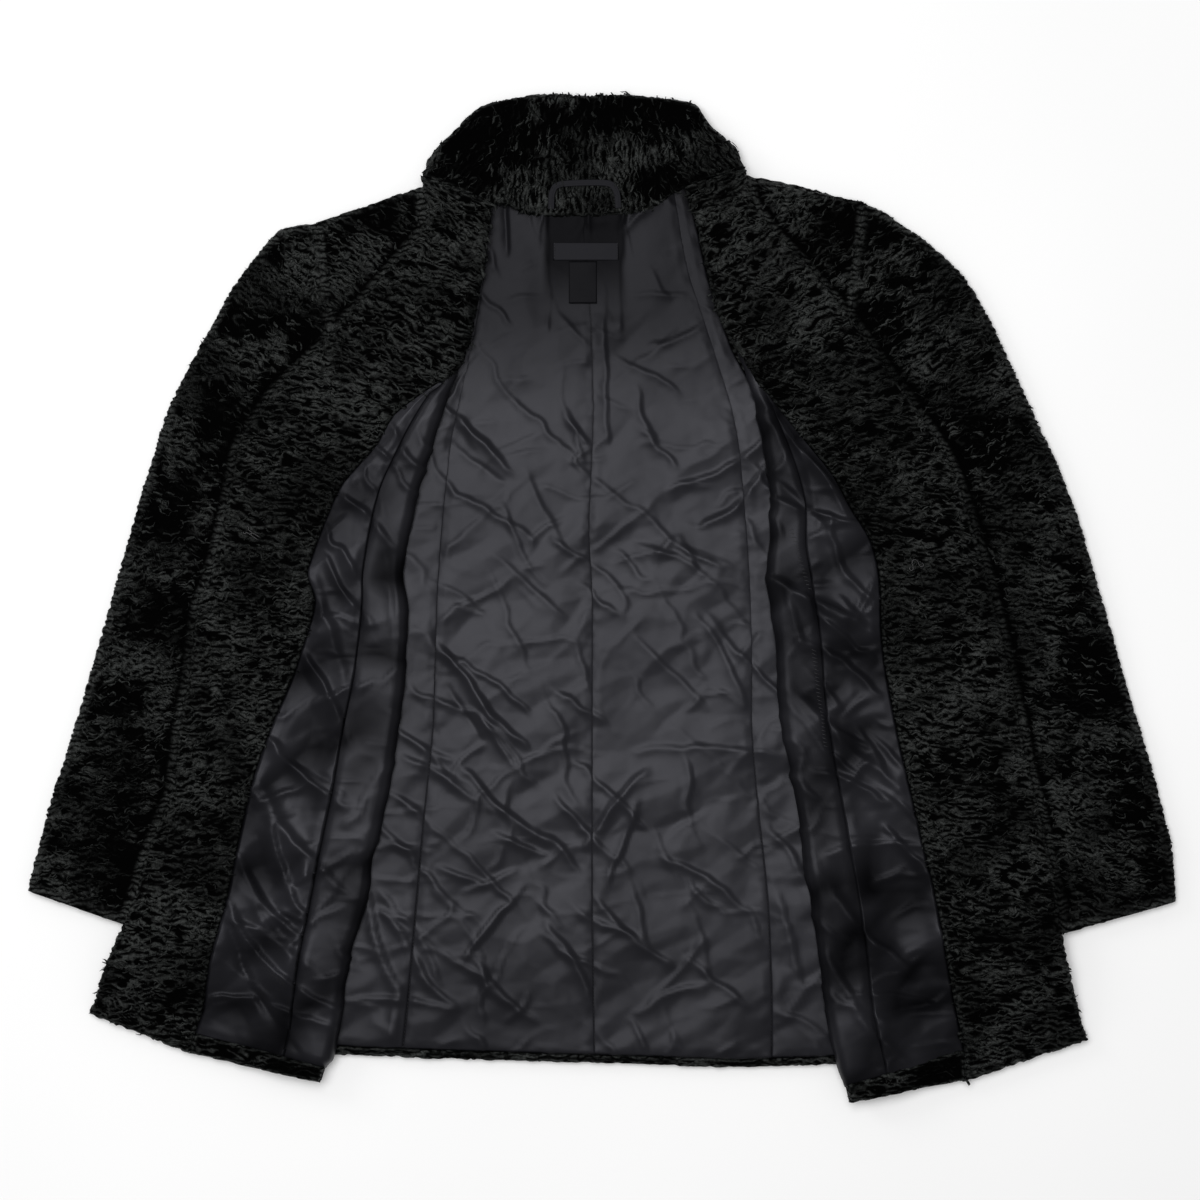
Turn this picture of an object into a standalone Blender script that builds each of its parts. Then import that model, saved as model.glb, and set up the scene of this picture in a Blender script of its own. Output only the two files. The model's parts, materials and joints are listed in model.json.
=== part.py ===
"""Faux fur coat laid open on its back: a plus-size, hip-length coat with a stand collar.

The back lies fur side down with its lining up. Each front comes from the side seam over the
back, folds at a roll, and goes back outwards over the sleeve with its facing and lining up.
Sizes are in millimetres until they become points, X is across the coat, Y runs from hem to
collar and Z is up from the surface that the coat lies on. Rows of the tables go from the
collar down to the hem, or along a sleeve from armhole to cuff.
"""

import math
from collections import namedtuple

import bmesh
import bpy
from mathutils import Matrix, Vector
from mathutils.bvhtree import BVHTree

MM = 0.001

# Driving sizes, in millimetres.
FUR = 6.0  # faux fur with its backing and its pile
LINING = 1.0  # satin with its seam turnings
GAP = 0.3  # between pieces that are sewn or lie on each other
SEAM = 0.3  # each piece's edge stops this far short of the seam line
FOLD_GAP = 0.7  # between the two fur faces inside the front's fold
CREASE_EDGE = 14.0  # a lining crease fades out this far from its panel's seams
CREASE_TAPER = 0.3  # the share of a crease's length in which each of its ends fades
CREASE_OVERRUN = 0.12  # the share of its length that it runs on past its ends
CREASE_SHARPNESS = 1.6
COLLAR_CROWN = 2.5  # how far the collar swells between its neck seam and its rim
SLEEVE_SLIT = 0.6  # inside a sleeve that lies flat
STRAP_WIDTH = 5.5
STRAP_THICK = 1.0
STRAP_CLEAR = 0.4  # between the hanging loop and the fur under it
HEM_BAND = 7.0  # how much of the back's turned-up hem shows
HEM_BAND_THICK = 3.0
LEAF_RISE = 12.0  # how far the hidden leaf's hem runs up towards the side seam
LEAF_TUCK = 8.0  # how far below its shoulder corner a front's hidden leaf passes
LEAF_STEP = 1.0  # how far the hidden leaf drops to the back's fur at the side seam
NARROW_FOLD = 6.0  # up to this width of lining, a front folds towards its free edge
LEAST_PANEL = 3.0  # a narrow fold's strips of lining keep this width
LINING_MARGIN = 1.5  # between the back lining's top and the back's own edge
TOP_REACH = 20.0  # how far the back lining's top row may follow that edge upwards
WELD = 0.01
ROUNDING = 0.8  # how much of a smooth curve's swing the edges take between table rows
LABEL_THICK = 0.8
WIRE = 1.6  # diameter of the hook's and the eye's wire
CENTRE_SHIFT = (0.6, 1.6)  # brings the middle of the whole coat to the origin

# Levels of the layers above the surface.
BACK_TOP = FUR
BACK_LINING = BACK_TOP + GAP

# Counts along and across the panels.
FRONT_ROWS = 25
LOWER_STEPS = 3
ARC_STEPS = 4
SIDE_STEPS = 2
LINING_STEPS = 4
FACING_STEPS = 4
BACK_LINING_ROWS = 26
SLEEVE_ROWS = 16
SLEEVE_STEPS = 7
COLLAR_ROWS = 18
COLLAR_STEPS = 6
STRAP_STEPS = 16
HEM_STEPS = 12

Front = namedtuple(
    "Front",
    "free_x free_y seam_x seam_y roll_x roll_y side low under_side under_mid under_seam under_free",
)
# A row for each section of a front: its free edge, the seam between facing and lining, and the
# roll where it folds. side is the width of the side lining. low is the height of the lower
# leaf, and the last four are the heights of the upper leaf's underside along the section.
LEFT_FRONT = [
    Front(-159, 368, -104, 348, -102, 347, 1, 8.9, 15.6, 15.6, 15.6, 15.6),
    Front(-155, 324, -107, 321, -105, 321, 1, 8.9, 15.6, 15.6, 15.6, 15.6),
    Front(-188, 285, -112, 283, -110, 283, 1, 8.9, 15.6, 15.6, 15.6, 15.6),
    Front(-222, 247, -119, 245, -117, 245, 1, 8.9, 15.6, 15.6, 15.6, 15.0),
    Front(-256, 211, -126, 215, -124, 215, 1, 8.9, 15.6, 15.6, 15.6, 13.6),
    Front(-285, 183, -137, 192, -132, 192, 2, 8.9, 15.6, 15.6, 15.6, 13.4),
    Front(-301, 160, -159, 176, -140, 173, 8, 8.9, 15.6, 15.6, 15.4, 13.4),
    Front(-311, 147, -182, 158, -148, 148, 14, 8.9, 15.6, 15.4, 15.0, 13.4),
    Front(-319, 129, -198, 131, -154, 126, 20, 8.9, 15.6, 15.2, 14.4, 13.4),
    Front(-326, 94, -227, 98, -163, 98, 25, 8.9, 15.6, 14.6, 14.0, 13.4),
    Front(-331, 67, -242, 67, -171, 63, 26, 8.9, 15.6, 14.4, 13.6, 13.4),
    Front(-343, 19, -257, 22, -176, 22, 28, 8.9, 15.5, 13.8, 13.4, 13.4),
    Front(-354, -7, -251, -7, -174, -10, 31, 8.9, 15.4, 13.6, 13.4, 13.4),
    Front(-361, -65, -268, -63, -175, -63, 36, 8.9, 15.2, 12.4, 13.4, 13.4),
    Front(-370, -117, -291, -119, -182, -119, 40, 8.9, 15.0, 10.2, 13.4, 13.4),
    Front(-376, -170, -308, -170, -191, -170, 40, 8.9, 14.8, 8.0, 13.4, 13.4),
    Front(-398, -223, -320, -223, -202, -223, 40, 8.9, 14.6, 6.0, 13.2, 13.4),
    Front(-411, -267, -330, -271, -209, -271, 42, 8.9, 14.4, 4.2, 12.8, 13.4),
    Front(-432, -315, -343, -318, -222, -313, 38, 8.9, 14.4, 2.6, 13.4, 13.2),
    Front(-442, -342, -350, -360, -235, -390, 34, 8.9, 14.4, 0.6, 3.5, 2.5),
    Front(-445, -352, -357, -381, -242, -410, 32, 7.6, 14.0, 0.0, 0.0, 0.0),
    Front(-451, -366, -363, -401, -247, -426, 32, 3.0, 9.9, 0.0, 0.0, 0.0),
]
RIGHT_FRONT = [
    Front(125, 375, 75, 359, 73, 359, 1, 8.9, 15.6, 15.6, 15.6, 15.6),
    Front(129, 348, 79, 343, 77, 343, 1, 8.9, 15.6, 15.6, 15.6, 15.6),
    Front(147, 323, 87, 321, 85, 321, 1, 8.9, 15.6, 15.6, 15.6, 15.6),
    Front(176, 293, 93, 293, 91, 293, 1, 8.9, 15.6, 15.6, 15.6, 15.6),
    Front(203, 261, 100, 261, 98, 261, 1, 8.9, 15.6, 15.6, 15.6, 15.2),
    Front(229, 228, 112, 229, 110, 229, 1, 8.9, 15.6, 15.6, 15.6, 13.8),
    Front(248, 200, 127, 206, 125, 206, 1, 8.9, 15.6, 15.6, 15.6, 13.4),
    Front(264, 179, 142, 180, 136, 182, 3, 8.9, 15.6, 15.6, 15.6, 13.4),
    Front(281, 154, 162, 154, 140, 155, 8, 8.9, 15.6, 15.4, 15.0, 13.4),
    Front(295, 134, 179, 133, 143, 132, 14, 8.9, 15.6, 15.2, 14.4, 13.4),
    Front(308, 107, 201, 106, 147, 107, 19, 8.9, 15.6, 14.8, 13.8, 13.4),
    Front(318, 78, 216, 78, 150, 80, 22, 8.9, 15.6, 14.6, 13.6, 13.4),
    Front(328, 45, 235, 47, 148, 45, 24, 8.9, 15.5, 14.0, 13.4, 13.4),
    Front(337, 15, 242, 15, 147, 15, 30, 8.9, 15.4, 13.6, 13.4, 13.4),
    Front(350, -38, 244, -38, 154, -38, 31, 8.9, 15.2, 12.8, 13.4, 13.4),
    Front(361, -91, 252, -91, 158, -91, 31, 8.9, 15.0, 11.4, 13.4, 13.4),
    Front(371, -144, 263, -144, 166, -144, 31, 8.9, 14.8, 9.8, 13.3, 13.4),
    Front(383, -192, 274, -192, 174, -192, 32, 8.9, 14.6, 8.0, 13.3, 13.4),
    Front(396, -254, 289, -254, 183, -254, 34, 8.9, 14.4, 5.4, 13.3, 13.4),
    Front(404, -307, 299, -307, 191, -309, 34, 8.9, 14.4, 3.4, 12.8, 13.4),
    Front(411, -337, 308, -353, 198, -364, 33, 8.9, 14.4, 1.0, 4.5, 8.5),
    Front(420, -371, 317, -395, 212, -425, 32, 7.0, 14.0, 0.0, 0.0, 0.0),
    Front(426, -389, 319, -425, 216, -443, 32, 3.0, 9.9, 0.0, 0.0, 0.0),
]
LEFT_LINING_FROM = 5  # the first row of the table at which the front lining is wide enough
RIGHT_LINING_FROM = 7

Edge = namedtuple("Edge", "y left right")
# The back's outer seams: armhole down to the underarm, then the side seam.
BACK_EDGES = [
    Edge(345, -249, 227),
    Edge(300, -248, 224),
    Edge(252, -240, 217),
    Edge(221, -231, 210),
    Edge(173, -227, 203),
    Edge(129, -224, 197),
    Edge(90, -222, 192),
    Edge(-3, -220, 191),
    Edge(-63, -220, 200),
    Edge(-119, -227, 207),
    Edge(-170, -235, 213),
    Edge(-223, -246, 224),
    Edge(-271, -257, 229),
    Edge(-313, -266, 235),
    Edge(-364, -275, 243),
    Edge(-402, -282, 250),
    Edge(-445, -290, 258),
]
Top = namedtuple("Top", "x y")
# The back's top edge: left shoulder, neck, right shoulder.
BACK_TOP_EDGE = [
    Top(-249, 328),
    Top(-205, 344),
    Top(-158, 359),
    Top(-102, 345),
    Top(-64, 336),
    Top(-18, 335),
    Top(33, 338),
    Top(73, 355),
    Top(125, 371),
    Top(175, 361),
    Top(227, 346),
]
BACK_HEM = [
    Top(-282, -399),
    Top(-240, -401),
    Top(-143, -405),
    Top(-46, -408),
    Top(33, -410),
    Top(121, -413),
    Top(207, -410),
    Top(250, -407),
]

Sleeve = namedtuple("Sleeve", "outer_x outer_y inner_x inner_y")
# A row for each section across a sleeve: the outer edge that shows, and the inner edge, which
# lies under the front.
LEFT_SLEEVE = [
    Sleeve(-253, 329, -227, 85),
    Sleeve(-284, 322, -230, 67),
    Sleeve(-310, 292, -233, 46),
    Sleeve(-331, 261, -238, 25),
    Sleeve(-355, 217, -244, 6),
    Sleeve(-381, 166, -251, -16),
    Sleeve(-403, 98, -261, -43),
    Sleeve(-423, 28, -272, -75),
    Sleeve(-444, -47, -285, -115),
    Sleeve(-465, -117, -303, -165),
    Sleeve(-486, -183, -325, -216),
    Sleeve(-499, -232, -347, -266),
    Sleeve(-505, -258, -366, -307),
]
RIGHT_SLEEVE = [
    Sleeve(233, 349, 199, 94),
    Sleeve(258, 331, 203, 76),
    Sleeve(289, 309, 207, 54),
    Sleeve(318, 280, 214, 32),
    Sleeve(346, 232, 223, 10),
    Sleeve(373, 173, 233, -12),
    Sleeve(398, 120, 244, -38),
    Sleeve(420, 63, 256, -69),
    Sleeve(443, -16, 272, -109),
    Sleeve(465, -91, 293, -161),
    Sleeve(487, -166, 319, -214),
    Sleeve(501, -225, 347, -266),
    Sleeve(504, -268, 370, -305),
]

Collar = namedtuple("Collar", "neck_x neck_y rim_x rim_y lift")
# A row for each section across the collar: the neck seam, the rim, and how far the front's
# folded layers lift it.
COLLAR = [
    Collar(-101, 351, -159, 372, 6.0),
    Collar(-94, 349, -150, 388, 5.4),
    Collar(-87, 347, -132, 407, 4.4),
    Collar(-78, 344, -107, 430, 3.0),
    Collar(-64, 339, -77, 438, 1.0),
    Collar(-44, 338, -48, 441, 0.0),
    Collar(-18, 338, -18, 440, 0.0),
    Collar(13, 339, 17, 441, 0.0),
    Collar(37, 342, 51, 438, 1.0),
    Collar(54, 350, 81, 432, 3.0),
    Collar(62, 356, 95, 413, 4.4),
    Collar(67, 360, 113, 397, 5.4),
    Collar(72, 363, 125, 380, 6.0),
]

Panel = namedtuple("Panel", "y outer_left side_left centre side_right outer_right")
# The seams of the back lining. It ends under the rolls of the fronts.
BACK_PANELS = [
    Panel(334, -100, -96, -16, 62, 70),
    Panel(300, -108, -102, -16, 70, 84),
    Panel(258, -116, -108, -11, 84, 98),
    Panel(215, -124, -116, -9, 98, 113),
    Panel(170, -144, -126, -8, 112, 138),
    Panel(129, -160, -134, -9, 120, 148),
    Panel(60, -176, -141, -12, 126, 156),
    Panel(0, -182, -145, -9, 130, 152),
    Panel(-60, -182, -147, -9, 131, 160),
    Panel(-120, -190, -149, -9, 131, 168),
    Panel(-190, -203, -156, -9, 137, 180),
    Panel(-270, -219, -163, -9, 145, 192),
    Panel(-350, -238, -170, -8, 148, 202),
    Panel(-395, -246, -175, -7, 148, 210),
]

Crease = namedtuple("Crease", "x0 y0 x1 y1 width height")
# The largest creases of the back lining, as soft ridges.
BACK_CREASES = [
    Crease(-140, 165, -86, 115, 13, 4.5),
    Crease(-152, 67, -77, -12, 14, 4.0),
    Crease(-73, 85, -37, 6, 14, 4.0),
    Crease(-117, -78, -55, -126, 13, 4.0),
    Crease(-125, -162, -50, -210, 14, 4.0),
    Crease(138, 129, 68, 102, 13, 4.5),
    Crease(147, 102, 103, 85, 13, 4.0),
    Crease(0, 40, 103, 35, 14, 3.5),
    Crease(33, -135, 147, -140, 14, 3.5),
    Crease(118, -180, -4, -214, 14, 4.0),
    Crease(-46, -293, -11, -346, 15, 5.0),
    Crease(-190, -330, -130, -395, 14, 4.0),
    Crease(160, -250, 60, -300, 14, 4.0),
]

STRAP_PATH = [Top(-45, 339), Top(-44, 354), Top(-36, 361), Top(3, 362), Top(12, 355), Top(14, 340)]
BACK_HEM_SPAN = (-224.0, 190.0)  # between the rolls of the fronts
NECK_LABEL = (-43.5, 295.0, 14.5, 310.5)  # left, bottom, right, top
CARE_LABEL = (-29.5, 257.0, -5.0, 294.2)
HOOK_AT = (-305.0, 54.0, -33.0)  # x, y and turn in degrees
EYE_AT = (273.0, 28.0, 20.0)
# The wires in their own plane, as they are bent: the hook's tongue comes back over its shank.
HOOK_WIRE = [
    (-8.0, 2.4, 0.0),
    (-7.0, 3.4, 0.0),
    (-5.6, 2.6, 0.0),
    (-5.0, 1.3, 0.0),
    (6.0, 1.3, 0.0),
    (7.6, 1.3, 1.3),
    (6.4, 1.3, 2.6),
    (0.0, 1.2, 2.9),
    (-1.4, 0.0, 2.9),
    (0.0, -1.2, 2.9),
    (6.4, -1.3, 2.6),
    (7.6, -1.3, 1.3),
    (6.0, -1.3, 0.0),
    (-5.0, -1.3, 0.0),
    (-5.6, -2.6, 0.0),
    (-7.0, -3.4, 0.0),
    (-8.0, -2.4, 0.0),
]
EYE_WIRE = [
    (-5.4, -0.6, 0.0),
    (-6.4, -2.2, 0.0),
    (-5.4, -3.8, 0.0),
    (-3.6, -3.4, 0.0),
    (-2.8, -1.2, 0.0),
    (-2.6, 1.8, 0.0),
    (-1.6, 3.6, 0.0),
    (0.0, 4.3, 0.0),
    (1.6, 3.6, 0.0),
    (2.6, 1.8, 0.0),
    (2.8, -1.2, 0.0),
    (3.6, -3.4, 0.0),
    (5.4, -3.8, 0.0),
    (6.4, -2.2, 0.0),
    (5.4, -0.6, 0.0),
]

HEIGHTS = {"low", "under_side", "under_mid", "under_seam", "under_free", "lift"}
MATERIALS = {
    "fur": ((0.022, 0.023, 0.025, 1), 0.75, 0.0),
    "satin": ((0.036, 0.037, 0.045, 1), 0.38, 0.0),
    "label": ((0.030, 0.030, 0.036, 1), 0.5, 0.0),
    "wire": ((0.02, 0.02, 0.022, 1), 0.35, 0.9),
}


def clear_scene():
    for old in list(bpy.data.objects):
        bpy.data.objects.remove(old, do_unlink=True)


def new_collection(name):
    group = bpy.data.collections.new(name)
    bpy.context.scene.collection.children.link(group)
    return group


def finish_of(kind, node):
    """The node's own Principled material."""
    colour, roughness, metallic = MATERIALS[kind]
    material = bpy.data.materials.new(node + "_" + kind)
    material.use_nodes = True
    shader = material.node_tree.nodes["Principled BSDF"]
    shader.inputs["Base Color"].default_value = colour
    shader.inputs["Roughness"].default_value = roughness
    shader.inputs["Metallic"].default_value = metallic
    return material


def mix(a, b, t):
    return a + (b - a) * t


def smooth(t):
    t = min(max(t, 0.0), 1.0)
    return t * t * (3 - 2 * t)


def level_of(points, at, key="y", value="x"):
    """The value on a polyline of named points, by its key."""
    ordered = sorted(points, key=lambda p: getattr(p, key))
    for a, b in zip(ordered, ordered[1:]):
        if at <= getattr(b, key) or b is ordered[-1]:
            span = getattr(b, key) - getattr(a, key)
            return mix(getattr(a, value), getattr(b, value), (at - getattr(a, key)) / span)


def resampled(table, count):
    """The table as count + 1 rows at even steps of its row number. Places run through a smooth
    curve, and heights never pass those of the rows beside them."""
    kind = type(table[0])
    last = len(table) - 1
    rows = []
    for i in range(count + 1):
        place = last * i / count
        k = min(int(place), last - 1)
        t = place - k
        around = [table[max(k - 1, 0)], table[k], table[k + 1], table[min(k + 2, last)]]
        values = []
        for field, p0, p1, p2, p3 in zip(kind._fields, *around):
            if field in HEIGHTS:
                values.append(mix(p1, p2, smooth(t)))
                continue
            curve = (
                (2 * t**3 - 3 * t**2 + 1) * p1
                + (t**3 - 2 * t**2 + t) * (p2 - p0) / 2
                + (3 * t**2 - 2 * t**3) * p2
                + (t**3 - t**2) * (p3 - p1) / 2
            )
            values.append(mix(mix(p1, p2, t), curve, ROUNDING))
        rows.append(kind(*values))
    return rows


def grid_object(name, rows, kind, group):
    """An open surface through a grid of points in millimetres."""
    across = len(rows[0])
    points = [Vector(p) * MM + Vector((*CENTRE_SHIFT, 0)) * MM for row in rows for p in row]
    faces = []
    for i in range(len(rows) - 1):
        for j in range(across - 1):
            a = i * across + j
            faces.append((a, a + across, a + across + 1, a + 1))
    mesh = bpy.data.meshes.new(name)
    mesh.from_pydata(points, [], faces)
    mesh.materials.append(finish_of(kind, name))
    made = bpy.data.objects.new(name, mesh)
    group.objects.link(made)
    return made


def walled(name, rows, kind, thickness, group, outward=True):
    """A cloth piece: the surface with its thickness on one side."""
    made = grid_object(name, rows, kind, group)
    wall = made.modifiers.new("Wall", "SOLIDIFY")
    wall.thickness = thickness * MM
    wall.offset = 1.0 if outward else -1.0
    made.data.shade_smooth()
    return made


def normals_of(rows):
    """Unit normals at a grid's points, pointing up where the grid runs down and to the right."""
    found = []
    for i, row in enumerate(rows):
        line = []
        for j in range(len(row)):
            down = Vector(rows[min(i + 1, len(rows) - 1)][j]) - Vector(rows[max(i - 1, 0)][j])
            along = Vector(row[min(j + 1, len(row) - 1)]) - Vector(row[max(j - 1, 0)])
            line.append(down.cross(along).normalized())
        found.append(line)
    return found


def moved_out(rows, normals, distance):
    moved = []
    for row, line in zip(rows, normals):
        moved.append([tuple(Vector(p) + n * distance) for p, n in zip(row, line)])
    return moved


def crease_height(x, y, creases):
    height = 0.0
    for c in creases:
        start = Vector((c.x0, c.y0))
        run = Vector((c.x1, c.y1)) - start
        at = Vector((x, y)) - start
        along = at.dot(run) / run.length_squared
        aside = abs(at.x * run.y - at.y * run.x) / run.length
        ends = smooth((along + CREASE_OVERRUN) / CREASE_TAPER)
        ends *= smooth((1 + CREASE_OVERRUN - along) / CREASE_TAPER)
        across = math.exp(-CREASE_SHARPNESS * (aside / c.width) ** 2)
        height = max(height, c.height * ends * across)
    return height


def back_shell(group):
    """The fur back, flat on the surface."""
    left, right = BACK_TOP_EDGE[0].x, BACK_TOP_EDGE[-1].x
    shares = [(p.x - left) / (right - left) for p in BACK_TOP_EDGE]
    rows = [[(p.x, p.y, BACK_TOP) for p in BACK_TOP_EDGE]]
    for edge in BACK_EDGES[1:-2]:
        rows.append([(mix(edge.left, edge.right, s), edge.y, BACK_TOP) for s in shares])
    hem = []
    for s in shares:
        x = mix(BACK_HEM[0].x, BACK_HEM[-1].x, s)
        hem.append((x, level_of(BACK_HEM, x, "x", "y"), BACK_TOP))
    rows.append(hem)
    walled("shell_back", rows, "fur", FUR, group, outward=False)


def back_lining_panel(name, left_seam, right_seam, steps, group):
    """One panel of the back lining, between two seams of the table."""
    rows = []
    for i in range(BACK_LINING_ROWS + 1):
        y = mix(BACK_PANELS[0].y, BACK_PANELS[-1].y, i / BACK_LINING_ROWS)
        left = level_of(BACK_PANELS, y, "y", left_seam) + SEAM / 2
        right = level_of(BACK_PANELS, y, "y", right_seam) - SEAM / 2
        row = []
        for j in range(steps + 1):
            x = mix(left, right, j / steps)
            inside = min(x - left, right - x, BACK_PANELS[0].y - y, y - BACK_PANELS[-1].y)
            rise = crease_height(x, y, BACK_CREASES) * smooth(inside / CREASE_EDGE)
            edge_y = y
            if i == 0:
                edge_y = min(level_of(BACK_TOP_EDGE, x, "x", "y") - LINING_MARGIN, y + TOP_REACH)
            if i == BACK_LINING_ROWS:
                edge_y = level_of(BACK_HEM, x, "x", "y") + HEM_BAND + 2 * SEAM
            row.append((x, edge_y, BACK_LINING + rise))
        rows.append(row)
    walled(name, rows, "satin", LINING, group)


def back_linings(group):
    back_lining_panel("lining_side_back_left", "outer_left", "side_left", 2, group)
    back_lining_panel("lining_back_left", "side_left", "centre", 7, group)
    back_lining_panel("lining_back_right", "centre", "side_right", 7, group)
    back_lining_panel("lining_side_back_right", "side_right", "outer_right", 2, group)


def front_grid(table, mirror):
    """The front's backing as rows of points: lower leaf from the side seam, the roll, and the
    upper leaf out to the free edge. mirror is -1 on the left and 1 on the right."""
    edge, end = ("left", 0) if mirror < 0 else ("right", -1)
    rows = []
    for number, row in enumerate(table):
        roll = Vector((row.roll_x, row.roll_y))
        free = Vector((row.free_x, row.free_y))
        seam = Vector((row.seam_x, row.seam_y))
        out_y = min(roll.y + LEAF_RISE * number / (len(table) - 1), BACK_TOP_EDGE[end].y)
        out = Vector((level_of(BACK_EDGES, out_y, "y", edge), out_y))
        middle = (roll + out) / 2
        if number == 0:
            middle = Vector((free.x, free.y - LEAF_TUCK))
        low = row.low
        high = low + FUR + FOLD_GAP + FUR
        radius = (high - low) / 2
        target = seam if (seam - roll).length > NARROW_FOLD else free
        heading = (target - roll).normalized()
        centre = roll + heading * radius
        line = []
        for k in range(LOWER_STEPS):
            t = k / LOWER_STEPS
            spot = mix(out, middle, 2 * t) if t < 0.5 else mix(middle, centre, 2 * t - 1)
            z = mix(min(low, BACK_TOP + LEAF_STEP), low, smooth(1.5 * t))
            line.append((spot.x, spot.y, z))
        for k in range(ARC_STEPS + 1):
            turn = math.pi * k / ARC_STEPS
            spot = centre - heading * (radius * math.sin(turn))
            line.append((spot.x, spot.y, low + radius - radius * math.cos(turn)))
        side = roll + heading * (radius + row.side)
        if (seam - roll).length < radius + row.side + 2 * LEAST_PANEL:
            side = roll + heading * (radius + LEAST_PANEL)
            seam = roll + heading * (radius + 2 * LEAST_PANEL)
        for k in range(1, SIDE_STEPS + 1):
            t = k / SIDE_STEPS
            spot = mix(centre, side, t)
            line.append((spot.x, spot.y, FUR + mix(high - FUR, row.under_side, t)))
        for k in range(1, LINING_STEPS + 1):
            t = k / LINING_STEPS
            spot = mix(side, seam, t)
            sag = (1 - t) ** 2 * row.under_side + t**2 * row.under_seam
            line.append((spot.x, spot.y, FUR + sag + 2 * t * (1 - t) * mid_pull(row)))
        for k in range(1, FACING_STEPS + 1):
            t = k / FACING_STEPS
            spot = mix(seam, free, t)
            line.append((spot.x, spot.y, FUR + mix(row.under_seam, row.under_free, smooth(t))))
        rows.append(line)
    return rows


def mid_pull(row):
    """The control height that makes the section pass through under_mid half way."""
    return max(2 * row.under_mid - (row.under_side + row.under_seam) / 2, 0.0)


ROLL_START = LOWER_STEPS
ROLL_END = LOWER_STEPS + ARC_STEPS
SIDE_SEAM = ROLL_END + SIDE_STEPS
FACING_SEAM = SIDE_SEAM + LINING_STEPS
FREE_EDGE = FACING_SEAM + FACING_STEPS


def drawn_in(rows):
    """The same grid with its left and right edges drawn in from their seams."""
    drawn = []
    for row in rows:
        line = list(row)
        for end, towards in ((0, 1), (-1, -2)):
            a, b = Vector(line[end]), Vector(line[towards])
            line[end] = tuple(a + (b - a).normalized() * SEAM)
        drawn.append(line)
    return drawn


def turned(rows):
    return [list(line) for line in zip(*rows)]


def seamed(rows):
    """The same grid with all four of its edges drawn in from their seams."""
    return turned(drawn_in(turned(drawn_in(rows))))


def front(name, table, mirror, lining_from, group):
    """One front with everything on it: shell, facing, linings and turned-up hem."""
    rows = front_grid(resampled(table, FRONT_ROWS), mirror)
    lining_top = math.ceil(lining_from * FRONT_ROWS / (len(table) - 1))
    hem_top = FRONT_ROWS - 1
    if mirror < 0:
        rows = [list(reversed(row)) for row in rows]
    walled("shell_front_" + name, rows, "fur", FUR, group, outward=False)
    on_shell = moved_out(rows, normals_of(rows), GAP)

    def piece(node, kind, thickness, first_row, last_row, first, last):
        if mirror < 0:
            first, last = FREE_EDGE - last, FREE_EDGE - first
        cut = [row[first : last + 1] for row in on_shell[first_row : last_row + 1]]
        return walled(node + name, seamed(cut), kind, thickness, group)

    facing = piece("facing_", "fur", FUR, 0, FRONT_ROWS, FACING_SEAM, FREE_EDGE)
    piece("lining_front_", "satin", LINING, lining_top, hem_top, SIDE_SEAM, FACING_SEAM)
    piece("lining_side_", "satin", LINING, 0, hem_top, ROLL_START, SIDE_SEAM)
    piece("hem_front_", "fur", FUR, hem_top, FRONT_ROWS, ROLL_START + 1, FACING_SEAM)
    return facing


def back_hem(group):
    """The back's turned-up hem, which shows as a narrow band below the lining."""
    rows = []
    for down in (0.0, 1.0):
        row = []
        for k in range(HEM_STEPS + 1):
            x = mix(BACK_HEM_SPAN[0], BACK_HEM_SPAN[1], k / HEM_STEPS)
            y = level_of(BACK_HEM, x, "x", "y")
            row.append((x, y + HEM_BAND * (1 - down), BACK_LINING))
        rows.append(row)
    walled("hem_back", rows, "fur", HEM_BAND_THICK, group)


def sleeve(name, table, mirror, group):
    """A flat fur tube: the slit inside it, with the fur as its wall."""
    rows = []
    for row in resampled(table, SLEEVE_ROWS):
        outer = Vector((row.outer_x, row.outer_y))
        inner = Vector((row.inner_x, row.inner_y))
        along = (outer - inner).normalized()
        first = inner + along * FUR
        last = outer - along * FUR
        line = []
        for k in range(SLEEVE_STEPS + 1):
            spot = mix(first, last, k / SLEEVE_STEPS)
            line.append((spot.x, spot.y, FUR))
        for k in range(SLEEVE_STEPS + 1):
            spot = mix(last, first, k / SLEEVE_STEPS)
            line.append((spot.x, spot.y, FUR + SLEEVE_SLIT))
        line.append(line[0])
        rows.append(line if mirror < 0 else list(reversed(line)))
    made = walled("sleeve_" + name, rows, "fur", FUR, group, outward=True)
    tube = bmesh.new()
    tube.from_mesh(made.data)
    bmesh.ops.remove_doubles(tube, verts=tube.verts, dist=WELD * MM)
    tube.to_mesh(made.data)
    tube.free()


def collar(group):
    """The two layers of the collar, which lie beyond the neck seam."""
    under, upper = [], []
    for row in resampled(COLLAR, COLLAR_ROWS):
        neck = Vector((row.neck_x, row.neck_y))
        rim = Vector((row.rim_x, row.rim_y))
        low, high = [], []
        for k in range(COLLAR_STEPS + 1):
            t = k / COLLAR_STEPS
            spot = mix(rim, neck, t)
            low.append((spot.x, spot.y, FUR + row.lift))
            crown = COLLAR_CROWN * math.sin(math.pi * t)
            high.append((spot.x, spot.y, FUR + 2 * GAP + row.lift + crown))
        under.append(low)
        upper.append(high)
    walled("collar_under", turned(under), "fur", FUR, group, outward=False)
    walled("collar_upper", turned(upper), "fur", FUR, group)


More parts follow.
